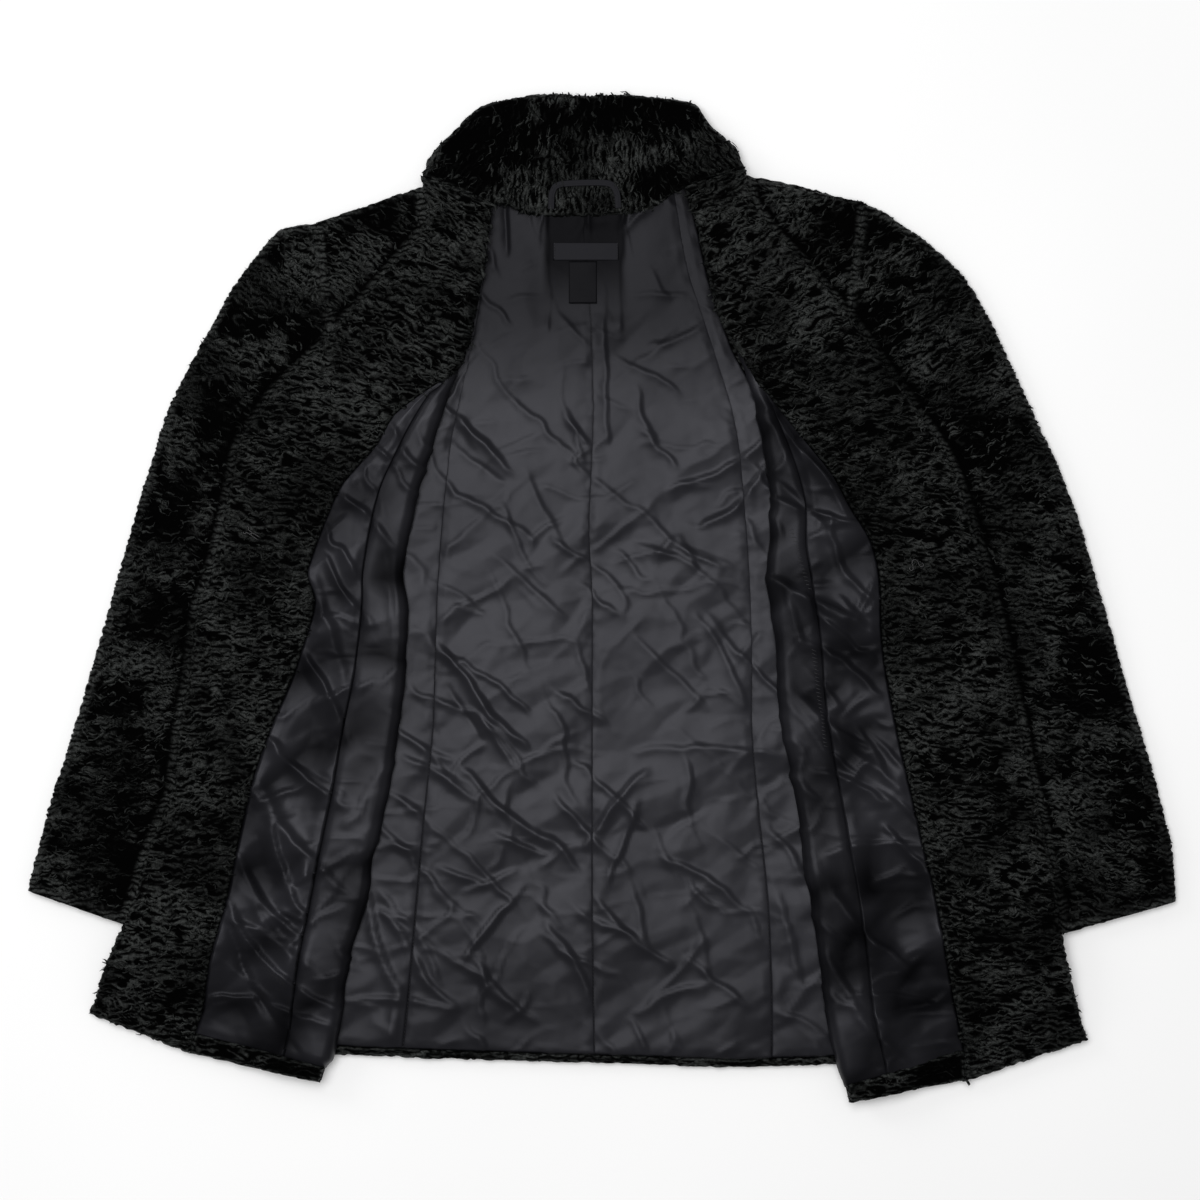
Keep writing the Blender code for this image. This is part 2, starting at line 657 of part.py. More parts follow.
def hanging_loop(group):
    """A satin strap that lies on the collar, with its ends at the neck seam."""
    path = resampled(STRAP_PATH, STRAP_STEPS)
    rows = [[], []]
    for k, spot in enumerate(path):
        before, after = path[max(k - 1, 0)], path[min(k + 1, STRAP_STEPS)]
        run = Vector((after.x - before.x, after.y - before.y)).normalized()
        share = (spot.y - COLLAR[6].neck_y) / (COLLAR[6].rim_y - COLLAR[6].neck_y)
        height = 2 * FUR + 3 * GAP + COLLAR_CROWN * math.sin(math.pi * max(share, 0.0))
        for row, side in zip(rows, (1, -1)):
            x = spot.x - run.y * side * STRAP_WIDTH / 2
            y = spot.y + run.x * side * STRAP_WIDTH / 2
            row.append((x, y, height + STRAP_CLEAR))
    walled("hang_loop", rows, "satin", STRAP_THICK, group)


def label(name, box, group):
    left, bottom, right, top = box
    height = BACK_LINING + LINING + GAP
    rows = [[(x, y, height) for x in (left, right)] for y in (top, bottom)]
    walled(name, rows, "label", LABEL_THICK, group)


def height_on(cloth, points):
    """The highest place of a piece's surface under some points, in metres."""
    graph = bpy.context.evaluated_depsgraph_get()
    tree = BVHTree.FromObject(cloth, graph)
    heights = []
    for point in points:
        hit = tree.ray_cast(Vector((point.x, point.y, 1.0)), Vector((0, 0, -1)))[0]
        if hit is not None:
            heights.append(hit.z)
    return max(heights)


def wire(name, path, place, cloth, group):
    """A bent wire fitting that lies on the fur of a facing."""
    x, y, turn = place
    spin = Matrix.Rotation(math.radians(turn), 3, "Z")
    shift = Vector((x + CENTRE_SHIFT[0], y + CENTRE_SHIFT[1], 0))
    points = [(spin @ Vector(p) + shift) * MM for p in path]
    rest = height_on(cloth, points) + (WIRE / 2 + GAP) * MM
    curve = bpy.data.curves.new(name, "CURVE")
    curve.dimensions = "3D"
    curve.bevel_depth = WIRE * MM / 2
    curve.bevel_resolution = 1
    curve.use_fill_caps = True
    spline = curve.splines.new("POLY")
    spline.points.add(len(points) - 1)
    for knot, point in zip(spline.points, points):
        knot.co = (point.x, point.y, point.z + rest, 1.0)
    curve.materials.append(finish_of("wire", name))
    group.objects.link(bpy.data.objects.new(name, curve))


def main():
    clear_scene()
    group = new_collection("Faux_fur_coat")
    back_shell(group)
    back_linings(group)
    back_hem(group)
    sleeve("left", LEFT_SLEEVE, -1, group)
    sleeve("right", RIGHT_SLEEVE, 1, group)
    left_facing = front("left", LEFT_FRONT, -1, LEFT_LINING_FROM, group)
    right_facing = front("right", RIGHT_FRONT, 1, RIGHT_LINING_FROM, group)
    collar(group)
    hanging_loop(group)
    label("label_neck", NECK_LABEL, group)
    label("label_care", CARE_LABEL, group)
    wire("fur_hook", HOOK_WIRE, HOOK_AT, left_facing, group)
    wire("fur_eye", EYE_WIRE, EYE_AT, right_facing, group)


main()
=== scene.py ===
"""Faux fur coat laid open on its back: the curled pile, the creased satin lining and the trims.

The back lies fur side down with its lining up, and each front folds at a roll and goes back
outwards over its sleeve. Each piece is a closed cloth on the form of its solid. Sizes are in
millimetres until they become points, and the node trees take metres. X is across the coat, Y runs
from hem to collar and Z is up from the surface that the coat lies on. Rows of the tables go from
the collar down to the hem, or along a sleeve from armhole to cuff.
"""

import json
import math
from collections import namedtuple

import bpy
import numpy as np
from mathutils import Matrix, Vector

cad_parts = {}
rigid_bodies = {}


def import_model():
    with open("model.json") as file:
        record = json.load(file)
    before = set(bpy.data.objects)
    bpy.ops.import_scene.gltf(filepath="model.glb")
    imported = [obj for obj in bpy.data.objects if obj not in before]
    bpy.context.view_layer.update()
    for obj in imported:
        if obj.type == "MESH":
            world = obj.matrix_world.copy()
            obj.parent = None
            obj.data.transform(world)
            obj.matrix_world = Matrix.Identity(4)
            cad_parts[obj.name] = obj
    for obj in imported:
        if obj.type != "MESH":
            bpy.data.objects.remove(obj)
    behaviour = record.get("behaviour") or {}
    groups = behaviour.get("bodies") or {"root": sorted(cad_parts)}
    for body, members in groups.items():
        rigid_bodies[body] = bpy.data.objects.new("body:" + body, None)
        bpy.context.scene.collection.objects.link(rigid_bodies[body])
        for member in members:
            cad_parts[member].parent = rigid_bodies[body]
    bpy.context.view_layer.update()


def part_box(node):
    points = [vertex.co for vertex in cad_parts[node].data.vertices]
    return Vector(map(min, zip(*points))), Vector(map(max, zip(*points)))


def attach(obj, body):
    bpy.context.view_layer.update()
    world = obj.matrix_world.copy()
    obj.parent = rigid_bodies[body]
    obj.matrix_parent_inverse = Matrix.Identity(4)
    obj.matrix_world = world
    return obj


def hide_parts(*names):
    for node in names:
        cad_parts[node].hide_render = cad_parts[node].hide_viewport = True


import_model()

MM = 0.001

# Driving sizes, in millimetres.
FUR = 6.0  # faux fur with its backing and its pile
LINING = 0.8
GAP = 0.3  # between pieces that are sewn or lie on each other
FOLD_GAP = 0.7  # between the two fur faces inside the front's fold
FOLD_RADIUS = FUR + FOLD_GAP / 2
COLLAR_CROWN = 2.5  # how far the collar swells between its neck seam and its rim
SLEEVE_SLIT = 0.6  # inside a sleeve that lies flat
STRAP_WIDTH = 5.5
STRAP_THICK = 1.0
STRAP_CLEAR = 0.4
STRAP_LIGHT_AND_TONE = 0.85  # how bright the loop is drawn: its own tone and painted light together
HEM_BAND = 7.0
HEM_BAND_THICK = 3.0
LEAF_RISE = 12.0  # how far the hidden leaf's hem runs up towards the side seam
LEAF_TUCK = 8.0  # how far below its shoulder corner a front's hidden leaf passes
LEAF_STEP = 1.0  # how far the hidden leaf drops to the back's fur at the side seam
NARROW_FOLD = 6.0  # up to this width of lining, a front folds towards its free edge
FOLD_TURN = 12.0  # over this much more width, it comes to fold towards the lining's seam
LINING_MARGIN = -7.0  # the back lining goes on above the back's edge, under the collar
TOP_REACH = 28.0  # how far above the first row of its table the back lining may go
PANEL_ENDS = 60.0  # over this length a panel of the back lining comes to its end's own line
ROUNDING = 0.8  # how much of a smooth curve's swing the edges take between table rows
LABEL_THICK = 0.8
LABEL_CLEAR = 1.7  # how far the labels lie above the back lining's lowest places
LABEL_HEM = 1.6  # from a label's end to its stitches
LABEL_BULGE = 0.6  # how far a label's middle stands up between its sewn sides
SEAM_LAP = 5.0  # how far the fur of a sleeve or collar goes over the seam that it hides
SATIN_LAP = 1.4  # how far each side of a lining's seam goes past it
WIRE = 1.6
WIRE_LIFT = 0.9  # how far the wires' middle lies above that of their solids
CENTRE_SHIFT = (0.6, 1.6)  # brings the middle of the whole coat to the origin
BACK_LINING = FUR + GAP

# The pile: wavy ridges of short curled tufts.
CURL_PITCH = 5.2
CROSSING_PITCH = CURL_PITCH * 1.25  # of the second ridges, which fill the gaps of the first
CURL_DEPTH = 2.6
CURL_CREST = 0.75  # how far the ridges stand above the solid's surface
LEAST_PILE = 0.56  # how much of the pile stands where it is worn most
SPARSE = 0.4  # how unevenly the pile stands
SPARSE_FACING = 0.15
SPARSE_COLLAR = 0.75
EDGE_PILE = 7.0  # how far from its edges a hidden face has ridges
EDGE_FOLDS = 8.0  # how far from the edges the creases in the fur reach their full height
EDGE_PAINTED_SHADE = 0.55  # painted shade at a piece's edges: how bright the crests are drawn at an edge
# over this width from an edge, the painted shade fades out
EDGE_SHADE_REACH = 3.0
PILE_STEP = 1.6  # mesh step that shows the ridges

# The satin: crumpled planes, with creases over them.
LARGE_PLANES = 38.0
SMALL_PLANES = 17.0
FRONT_LOOSE = 1.6  # how much looser the front lining lies than the back's
SEAM_HOLD = 9.0  # how far from its edges the satin's seams hold it flatter
PUCKER = 0.4  # how high the puckers beside a seam stand
PUCKER_LENGTH = 5.0
PUCKER_REACH = 8.0
SEAM_DIP = 0.12  # how far the cloth sinks into a seam
SEAM_WIDTH = 1.6
SATIN_AIR = 0.5  # under the satin where it lies lowest
SATIN_STEP = 2.1  # mesh step that shows the lining's creases

# The fur beside a front's free edge, which lies over it and casts a painted shadow on it.
BESIDE_FRONT = 3.0  # it shows from this far outside the edge
SHOWN_REACH = 6.0  # and in full after this much more
SHADE_REACH = 16.0  # the painted shadow of the edge darkens it over this width
SHADE = 0.35  # how bright its crests are drawn at the edge, in that painted shadow

# The photograph: where its pixels lie on the coat.
PHOTO_MM = 0.88  # millimetres to a pixel
PHOTO_MIDDLE = (602.5, 596.5)
PHOTO_VIEW = (-1.6, -1.5, 1056.0)  # middle and width of what the camera sees, in millimetres
CAMERA_HEIGHT = 3000.0

Front = namedtuple(
    "Front",
    "free_x free_y seam_x seam_y roll_x roll_y side low under_side under_mid under_seam under_free",
)
# A row for each section of a front: its free edge, the seam between facing and lining, and the
# roll where it folds. side is the width of the side lining. low is the height of the lower
# leaf, and the last four are the heights of the upper leaf's underside along the section.
LEFT_FRONT = [
    Front(-159, 368, -104, 348, -102, 347, 1, 8.9, 15.6, 15.6, 15.6, 15.6),
    Front(-155, 324, -107, 321, -105, 321, 1, 8.9, 15.6, 15.6, 15.6, 15.6),
    Front(-188, 285, -112, 283, -110, 283, 1, 8.9, 15.6, 15.6, 15.6, 15.6),
    Front(-222, 247, -119, 245, -117, 245, 1, 8.9, 15.6, 15.6, 15.6, 15.0),
    Front(-256, 211, -126, 215, -124, 215, 1, 8.9, 15.6, 15.6, 15.6, 13.6),
    Front(-285, 183, -137, 192, -132, 192, 2, 8.9, 15.6, 15.6, 15.6, 13.4),
    Front(-301, 160, -159, 176, -140, 173, 8, 8.9, 15.6, 15.6, 15.4, 13.4),
    Front(-311, 147, -182, 158, -148, 148, 14, 8.9, 15.6, 15.4, 15.0, 13.4),
    Front(-319, 129, -198, 131, -154, 126, 20, 8.9, 15.6, 15.2, 14.4, 13.4),
    Front(-326, 94, -227, 98, -163, 98, 25, 8.9, 15.6, 14.6, 14.0, 13.4),
    Front(-331, 67, -242, 67, -171, 63, 26, 8.9, 15.6, 14.4, 13.6, 13.4),
    Front(-343, 19, -257, 22, -176, 22, 28, 8.9, 15.5, 13.8, 13.4, 13.4),
    Front(-354, -7, -251, -7, -174, -10, 31, 8.9, 15.4, 13.6, 13.4, 13.4),
    Front(-361, -65, -268, -63, -175, -63, 36, 8.9, 15.2, 12.4, 13.4, 13.4),
    Front(-370, -117, -291, -119, -182, -119, 40, 8.9, 15.0, 10.2, 13.4, 13.4),
    Front(-376, -170, -308, -170, -191, -170, 40, 8.9, 14.8, 8.0, 13.4, 13.4),
    Front(-398, -223, -320, -223, -202, -223, 40, 8.9, 14.6, 6.0, 13.2, 13.4),
    Front(-411, -267, -330, -271, -209, -271, 42, 8.9, 14.4, 4.2, 12.8, 13.4),
    Front(-432, -315, -343, -318, -222, -313, 38, 8.9, 14.4, 2.6, 13.4, 13.2),
    Front(-442, -342, -350, -360, -235, -390, 34, 8.9, 14.4, 0.6, 3.5, 2.5),
    Front(-445, -352, -357, -381, -242, -410, 32, 7.6, 14.0, 0.0, 0.0, 0.0),
    Front(-451, -366, -363, -401, -247, -426, 32, 3.0, 9.9, 0.0, 0.0, 0.0),
]
RIGHT_FRONT = [
    Front(125, 375, 75, 359, 73, 359, 1, 8.9, 15.6, 15.6, 15.6, 15.6),
    Front(129, 348, 79, 343, 77, 343, 1, 8.9, 15.6, 15.6, 15.6, 15.6),
    Front(147, 323, 87, 321, 85, 321, 1, 8.9, 15.6, 15.6, 15.6, 15.6),
    Front(176, 293, 93, 293, 91, 293, 1, 8.9, 15.6, 15.6, 15.6, 15.6),
    Front(203, 261, 100, 261, 98, 261, 1, 8.9, 15.6, 15.6, 15.6, 15.2),
    Front(229, 228, 112, 229, 110, 229, 1, 8.9, 15.6, 15.6, 15.6, 13.8),
    Front(248, 200, 127, 206, 125, 206, 1, 8.9, 15.6, 15.6, 15.6, 13.4),
    Front(264, 179, 142, 180, 136, 182, 3, 8.9, 15.6, 15.6, 15.6, 13.4),
    Front(281, 154, 162, 154, 140, 155, 8, 8.9, 15.6, 15.4, 15.0, 13.4),
    Front(295, 134, 179, 133, 143, 132, 14, 8.9, 15.6, 15.2, 14.4, 13.4),
    Front(308, 107, 201, 106, 147, 107, 19, 8.9, 15.6, 14.8, 13.8, 13.4),
    Front(318, 78, 216, 78, 150, 80, 22, 8.9, 15.6, 14.6, 13.6, 13.4),
    Front(328, 45, 235, 47, 148, 45, 24, 8.9, 15.5, 14.0, 13.4, 13.4),
    Front(337, 15, 242, 15, 147, 15, 30, 8.9, 15.4, 13.6, 13.4, 13.4),
    Front(350, -38, 244, -38, 154, -38, 31, 8.9, 15.2, 12.8, 13.4, 13.4),
    Front(361, -91, 252, -91, 158, -91, 31, 8.9, 15.0, 11.4, 13.4, 13.4),
    Front(371, -144, 263, -144, 166, -144, 31, 8.9, 14.8, 9.8, 13.3, 13.4),
    Front(383, -192, 274, -192, 174, -192, 32, 8.9, 14.6, 8.0, 13.3, 13.4),
    Front(396, -254, 289, -254, 183, -254, 34, 8.9, 14.4, 5.4, 13.3, 13.4),
    Front(404, -307, 299, -307, 191, -309, 34, 8.9, 14.4, 3.4, 12.8, 13.4),
    Front(411, -337, 308, -353, 198, -364, 33, 8.9, 14.4, 1.0, 4.5, 8.5),
    Front(420, -371, 317, -395, 212, -425, 32, 7.0, 14.0, 0.0, 0.0, 0.0),
    Front(426, -389, 319, -425, 216, -443, 32, 3.0, 9.9, 0.0, 0.0, 0.0),
]

Edge = namedtuple("Edge", "y left right")
# The back's outer seams: armhole down to the underarm, then the side seam.
BACK_EDGES = [
    Edge(345, -249, 227),
    Edge(300, -248, 224),
    Edge(252, -240, 217),
    Edge(221, -231, 210),
    Edge(173, -227, 203),
    Edge(129, -224, 197),
    Edge(90, -222, 192),
    Edge(-3, -220, 191),
    Edge(-63, -220, 200),
    Edge(-119, -227, 207),
    Edge(-170, -235, 213),
    Edge(-223, -246, 224),
    Edge(-271, -257, 229),
    Edge(-313, -266, 235),
    Edge(-364, -275, 243),
    Edge(-402, -282, 250),
    Edge(-445, -290, 258),
]
Top = namedtuple("Top", "x y")
# The back's top edge: left shoulder, neck, right shoulder.
BACK_TOP_EDGE = [
    Top(-249, 328),
    Top(-205, 344),
    Top(-158, 359),
    Top(-102, 345),
    Top(-64, 336),
    Top(-18, 335),
    Top(33, 338),
    Top(73, 355),
    Top(125, 371),
    Top(175, 361),
    Top(227, 346),
]
BACK_HEM = [
    Top(-282, -399),
    Top(-240, -401),
    Top(-143, -405),
    Top(-46, -408),
    Top(33, -410),
    Top(121, -413),
    Top(207, -410),
    Top(250, -407),
]

Sleeve = namedtuple("Sleeve", "outer_x outer_y inner_x inner_y")
# A row for each section across a sleeve: the outer edge that shows, and the inner edge, which
# lies under the front.
LEFT_SLEEVE = [
    Sleeve(-253, 329, -227, 85),
    Sleeve(-284, 322, -230, 67),
    Sleeve(-310, 292, -233, 46),
    Sleeve(-331, 261, -238, 25),
    Sleeve(-355, 217, -244, 6),
    Sleeve(-381, 166, -251, -16),
    Sleeve(-403, 98, -261, -43),
    Sleeve(-423, 28, -272, -75),
    Sleeve(-444, -47, -285, -115),
    Sleeve(-465, -117, -303, -165),
    Sleeve(-486, -183, -325, -216),
    Sleeve(-499, -232, -347, -266),
    Sleeve(-505, -258, -366, -307),
]
RIGHT_SLEEVE = [
    Sleeve(233, 349, 199, 94),
    Sleeve(258, 331, 203, 76),
    Sleeve(289, 309, 207, 54),
    Sleeve(318, 280, 214, 32),
    Sleeve(346, 232, 223, 10),
    Sleeve(373, 173, 233, -12),
    Sleeve(398, 120, 244, -38),
    Sleeve(420, 63, 256, -69),
    Sleeve(443, -16, 272, -109),
    Sleeve(465, -91, 293, -161),
    Sleeve(487, -166, 319, -214),
    Sleeve(501, -225, 347, -266),
    Sleeve(504, -268, 370, -305),
]

Collar = namedtuple("Collar", "neck_x neck_y rim_x rim_y lift")
# A row for each section across the collar: the neck seam, the rim, and how far the front's
# folded layers lift it.
COLLAR = [
    Collar(-101, 351, -159, 372, 6.0),
    Collar(-94, 349, -150, 388, 5.4),
    Collar(-87, 347, -132, 407, 4.4),
    Collar(-78, 344, -107, 430, 3.0),
    Collar(-64, 339, -77, 438, 1.0),
    Collar(-44, 338, -48, 441, 0.0),
    Collar(-18, 338, -18, 440, 0.0),
    Collar(13, 339, 17, 441, 0.0),
    Collar(37, 342, 51, 438, 1.0),
    Collar(54, 350, 81, 432, 3.0),
    Collar(62, 356, 95, 413, 4.4),
    Collar(67, 360, 113, 397, 5.4),
    Collar(72, 363, 125, 380, 6.0),
]

Panel = namedtuple("Panel", "y outer_left side_left centre side_right outer_right")
# The seams of the back lining. It ends under the rolls of the fronts.
BACK_PANELS = [
    Panel(334, -100, -96, -16, 62, 70),
    Panel(300, -108, -102, -16, 70, 84),
    Panel(258, -116, -108, -11, 84, 98),
    Panel(215, -124, -116, -9, 98, 113),
    Panel(170, -144, -126, -8, 112, 138),
    Panel(129, -160, -134, -9, 120, 148),
    Panel(60, -176, -141, -12, 126, 156),
    Panel(0, -182, -145, -9, 130, 152),
    Panel(-60, -182, -147, -9, 131, 160),
    Panel(-120, -190, -149, -9, 131, 168),
    Panel(-190, -203, -156, -9, 137, 180),
    Panel(-270, -219, -163, -9, 145, 192),
    Panel(-350, -238, -170, -8, 148, 202),
    Panel(-395, -246, -175, -7, 148, 210),
]

STRAP_PATH = [Top(-45, 339), Top(-44, 354), Top(-36, 361), Top(3, 362), Top(12, 355), Top(14, 340)]
BACK_HEM_SPAN = (-240.0, 207.0)  # between the rolls of the fronts
NECK_LABEL = (-43.5, 295.0, 14.5, 310.5)  # left, bottom, right, top
CARE_LABEL = (-29.5, 257.0, -5.0, 294.2)
HOOK_TURN = -33.0  # degrees
EYE_TURN = 20.0
# The wires in their own plane, as they are bent: the hook's tongue comes back over its shank.
HOOK_WIRE = [
    (-8.0, 2.4, 0.0),
    (-7.0, 3.4, 0.0),
    (-5.6, 2.6, 0.0),
    (-5.0, 1.3, 0.0),
    (6.0, 1.3, 0.0),
    (7.6, 1.3, 1.3),
    (6.4, 1.3, 2.6),
    (0.0, 1.2, 2.9),
    (-1.4, 0.0, 2.9),
    (0.0, -1.2, 2.9),
    (6.4, -1.3, 2.6),
    (7.6, -1.3, 1.3),
    (6.0, -1.3, 0.0),
    (-5.0, -1.3, 0.0),
    (-5.6, -2.6, 0.0),
    (-7.0, -3.4, 0.0),
    (-8.0, -2.4, 0.0),
]
EYE_WIRE = [
    (-5.4, -0.6, 0.0),
    (-6.4, -2.2, 0.0),
    (-5.4, -3.8, 0.0),
    (-3.6, -3.4, 0.0),
    (-2.8, -1.2, 0.0),
    (-2.6, 1.8, 0.0),
    (-1.6, 3.6, 0.0),
    (0.0, 4.3, 0.0),
    (1.6, 3.6, 0.0),
    (2.6, 1.8, 0.0),
    (2.8, -1.2, 0.0),
    (3.6, -3.4, 0.0),
    (5.4, -3.8, 0.0),
    (6.4, -2.2, 0.0),
    (5.4, -0.6, 0.0),
]

Fold = namedtuple("Fold", "from_x from_y to_x to_y width height bow")
# Creases, placed on the photograph: the ends are its pixels, and width, height and bow
# are millimetres. A hollow has a negative height, and bow bends a crease to its left.
BACK_FOLDS = [
    Fold(545, 206, 548, 325, 6, 2.6, 2),
    Fold(624, 206, 621, 325, 6, 2.6, -2),
    Fold(482, 200, 485, 240, 6, 3.0, 0),
    Fold(506, 204, 508, 250, 6, 3.2, 0),
    Fold(543, 206, 540, 243, 6, 2.6, 0),
    Fold(587, 206, 590, 240, 6, 2.6, 0),
    Fold(622, 206, 630, 252, 6, 3.2, 0),
    Fold(625, 231, 683, 188, 7, 3.8, 6),
    Fold(597, 262, 611, 276, 6, -1.6, 0),
    Fold(515, 298, 545, 298, 5, 1.4, 0),
    Fold(625, 295, 680, 295, 6, 1.6, 0),
    Fold(655, 345, 700, 325, 7, 2.4, -3),
    Fold(604, 290, 607, 440, 6, 2.0, 0),
    Fold(640, 395, 655, 435, 7, 2.0, -6),
    Fold(470, 430, 492, 450, 6, 1.8, 0),
    Fold(568, 418, 590, 445, 7, 2.4, 0),
    Fold(445, 408, 505, 467, 8, 3.2, 3),
    Fold(455, 447, 500, 480, 7, -1.4, 0),
    Fold(675, 487, 765, 440, 8, 3.0, -6),
    Fold(706, 522, 762, 468, 8, 3.6, -8),
    Fold(685, 550, 716, 566, 6, 1.8, 0),
    Fold(643, 548, 692, 566, 7, 1.8, 3),
    Fold(437, 645, 490, 715, 8, 3.4, 5),
    Fold(486, 700, 524, 742, 8, 3.0, -4),
    Fold(452, 690, 480, 735, 7, -1.6, 0),
    Fold(485, 722, 512, 762, 7, 2.2, 0),
    Fold(468, 772, 545, 838, 8, 3.0, -4),
    Fold(540, 832, 574, 864, 8, 2.4, 3),
    Fold(398, 730, 447, 757, 7, 2.4, -2),
    Fold(410, 758, 472, 798, 8, 2.6, 3),
    Fold(395, 794, 421, 812, 7, 2.2, 0),
    Fold(390, 842, 422, 850, 7, 2.0, 0),
    Fold(590, 840, 642, 774, 8, 3.2, 4),
    Fold(636, 808, 610, 874, 8, 2.6, 0),
    Fold(640, 750, 770, 753, 8, 1.8, 4),
    Fold(500, 836, 541, 852, 7, 2.4, 0),
    Fold(445, 868, 482, 881, 7, 2.2, 0),
    Fold(470, 888, 511, 872, 7, 2.0, 0),
    Fold(560, 800, 596, 842, 7, 2.4, 0),
    Fold(370, 893, 402, 992, 8, 3.0, -6),
    Fold(402, 988, 390, 1042, 8, 2.4, 0),
    Fold(385, 913, 427, 982, 7, 2.4, 5),
    Fold(425, 978, 452, 1002, 7, 2.2, 0),
    Fold(352, 1000, 450, 1008, 8, 2.0, 6),
    Fold(550, 928, 592, 1002, 8, 2.8, 5),
    Fold(600, 900, 668, 960, 8, 2.2, -5),
    Fold(668, 860, 740, 905, 8, 2.4, 6),
    Fold(690, 960, 742, 1000, 8, 2.0, 0),
    Fold(640, 1010, 700, 985, 8, 2.0, 4),
    Fold(478, 960, 530, 1015, 8, 2.4, -4),
    Fold(520, 890, 470, 950, 8, 1.8, 0),
    Fold(700, 620, 742, 700, 8, 1.8, 4),
    Fold(500, 560, 560, 612, 9, 1.6, 0),
    Fold(640, 640, 700, 700, 9, 1.6, 0),
    Fold(530, 480, 560, 540, 9, 1.4, 0),
    Fold(780, 900, 800, 980, 8, 2.2, 0),
    Fold(770, 830, 800, 872, 8, 2.2, 3),
]
LEFT_FOLDS = [
    Fold(268, 790, 318, 862, 26, 3.8, -6),
    Fold(256, 900, 318, 966, 26, 4.0, -8),
    Fold(300, 560, 340, 660, 24, 3.2, 4),
    Fold(243, 855, 300, 932, 8, 3.2, -8),
    Fold(275, 822, 310, 917, 8, 3.0, -6),
    Fold(232, 903, 335, 1002, 8, 3.4, -14),
    Fold(228, 903, 300, 1046, 6, -2.0, -10),
    Fold(305, 650, 350, 736, 9, 3.2, 4),
    Fold(275, 740, 345, 802, 9, 3.0, -5),
    Fold(325, 868, 300, 842, 5, 2.0, 0),
    Fold(325, 868, 296, 880, 5, 2.0, 0),
    Fold(325, 868, 352, 850, 5, 1.8, 0),
    Fold(325, 868, 350, 890, 5, 1.8, 0),
    Fold(312, 920, 286, 908, 5, 1.8, 0),
    Fold(312, 920, 292, 945, 5, 1.8, 0),
    Fold(312, 920, 340, 905, 5, 1.6, 0),
    Fold(280, 1005, 331, 1021, 7, 2.2, 0),
    Fold(322, 976, 346, 969, 6, 1.8, 0),
    Fold(208, 998, 252, 994, 7, 1.8, 2),
    Fold(330, 560, 372, 620, 8, 2.4, -4),
    Fold(350, 500, 392, 545, 8, 2.6, 4),
    Fold(395, 430, 432, 478, 8, 2.6, -4),
    Fold(320, 700, 372, 680, 7, 1.8, 0),
    Fold(262, 800, 300, 785, 7, 1.6, 0),
    Fold(388, 560, 396, 640, 7, -1.8, 0),
]
RIGHT_FOLDS = [
    Fold(762, 420, 846, 512, 26, 3.8, 6),
    Fold(785, 588, 856, 626, 28, 4.2, 0),
    Fold(800, 700, 880, 770, 28, 3.4, -5),
    Fold(824, 880, 900, 960, 28, 3.2, -6),
    Fold(752, 380, 796, 452, 8, 2.6, 0),
    Fold(793, 448, 846, 506, 8, 3.0, 4),
    Fold(783, 488, 816, 520, 9, -3.0, 0),
    Fold(775, 500, 851, 521, 7, 2.8, -3),
    Fold(775, 580, 812, 601, 8, 3.2, 0),
    Fold(808, 598, 856, 621, 7, 2.6, 2),
    Fold(840, 600, 856, 616, 5, 1.8, 0),
    Fold(856, 616, 871, 580, 6, 2.0, 0),
    Fold(785, 590, 801, 642, 7, 2.4, 0),
    Fold(806, 700, 862, 742, 8, 2.6, -5),
    Fold(815, 770, 880, 800, 8, 2.4, 5),
    Fold(830, 850, 902, 842, 8, 2.0, 4),
    Fold(840, 900, 905, 960, 9, 2.6, -6),
    Fold(855, 990, 930, 1002, 8, 2.0, 3),
    Fold(800, 640, 872, 690, 8, 2.4, 5),
    Fold(826, 955, 872, 1030, 8, 2.2, 0),
]
LEFT_SLEEVE_FOLDS = [
    Fold(223, 368, 276, 386, 12, 2.4, 0),
    Fold(214, 390, 241, 446, 11, 2.2, 4),
    Fold(256, 340, 286, 378, 16, -3.2, 0),
    Fold(290, 232, 262, 330, 16, 1.8, 8),
    Fold(150, 560, 172, 640, 22, 1.6, 0),
    Fold(95, 700, 190, 690, 22, -1.8, 8),
    Fold(70, 800, 150, 830, 20, 1.6, 0),
]
RIGHT_SLEEVE_FOLDS = [
    Fold(974, 286, 926, 384, 11, 3.0, 8),
    Fold(926, 384, 924, 404, 10, 2.2, 0),
    Fold(870, 330, 960, 278, 16, 2.0, 10),
    Fold(880, 390, 965, 320, 20, -3.4, 0),
    Fold(1020, 520, 1080, 560, 20, 1.8, 0),
    Fold(1030, 700, 1110, 690, 22, -1.8, 8),
    Fold(1050, 810, 1130, 840, 20, 1.6, 0),
]
LEFT_FACING_FOLDS = [
    Fold(268, 466, 365, 412, 9, 2.6, 6),
    Fold(285, 478, 368, 436, 13, -3.0, 5),
    Fold(248, 610, 300, 600, 16, 1.4, 0),
    Fold(200, 760, 262, 742, 18, -1.6, 0),
    Fold(165, 900, 205, 890, 16, 1.4, 0),
]
RIGHT_FACING_FOLDS = [
    Fold(892, 490, 952, 504, 9, 2.2, 4),
    Fold(896, 504, 948, 522, 13, -2.8, 4),
    Fold(898, 690, 950, 700, 18, -1.6, 0),
    Fold(930, 850, 985, 842, 16, 1.4, 0),
]
COLLAR_FOLDS = [
    Fold(520, 110, 524, 200, 9, 1.2, 0),
    Fold(640, 104, 633, 200, 9, 1.4, 0),
    Fold(575, 104, 580, 180, 10, -1.2, 0),
    Fold(470, 140, 492, 196, 9, 1.6, -4),
    Fold(700, 140, 676, 186, 9, 1.6, 4),
]

# The hand-sewn opening in the right lining, in pixels of the photograph.
WHIPPED = {
    "opening_stitches_upper": [(790, 530), (797, 555), (808, 590)],
    "opening_stitches_lower": [(812, 650), (818, 700), (823, 745)],
}

Nap = namedtuple("Nap", "x y reach lean")
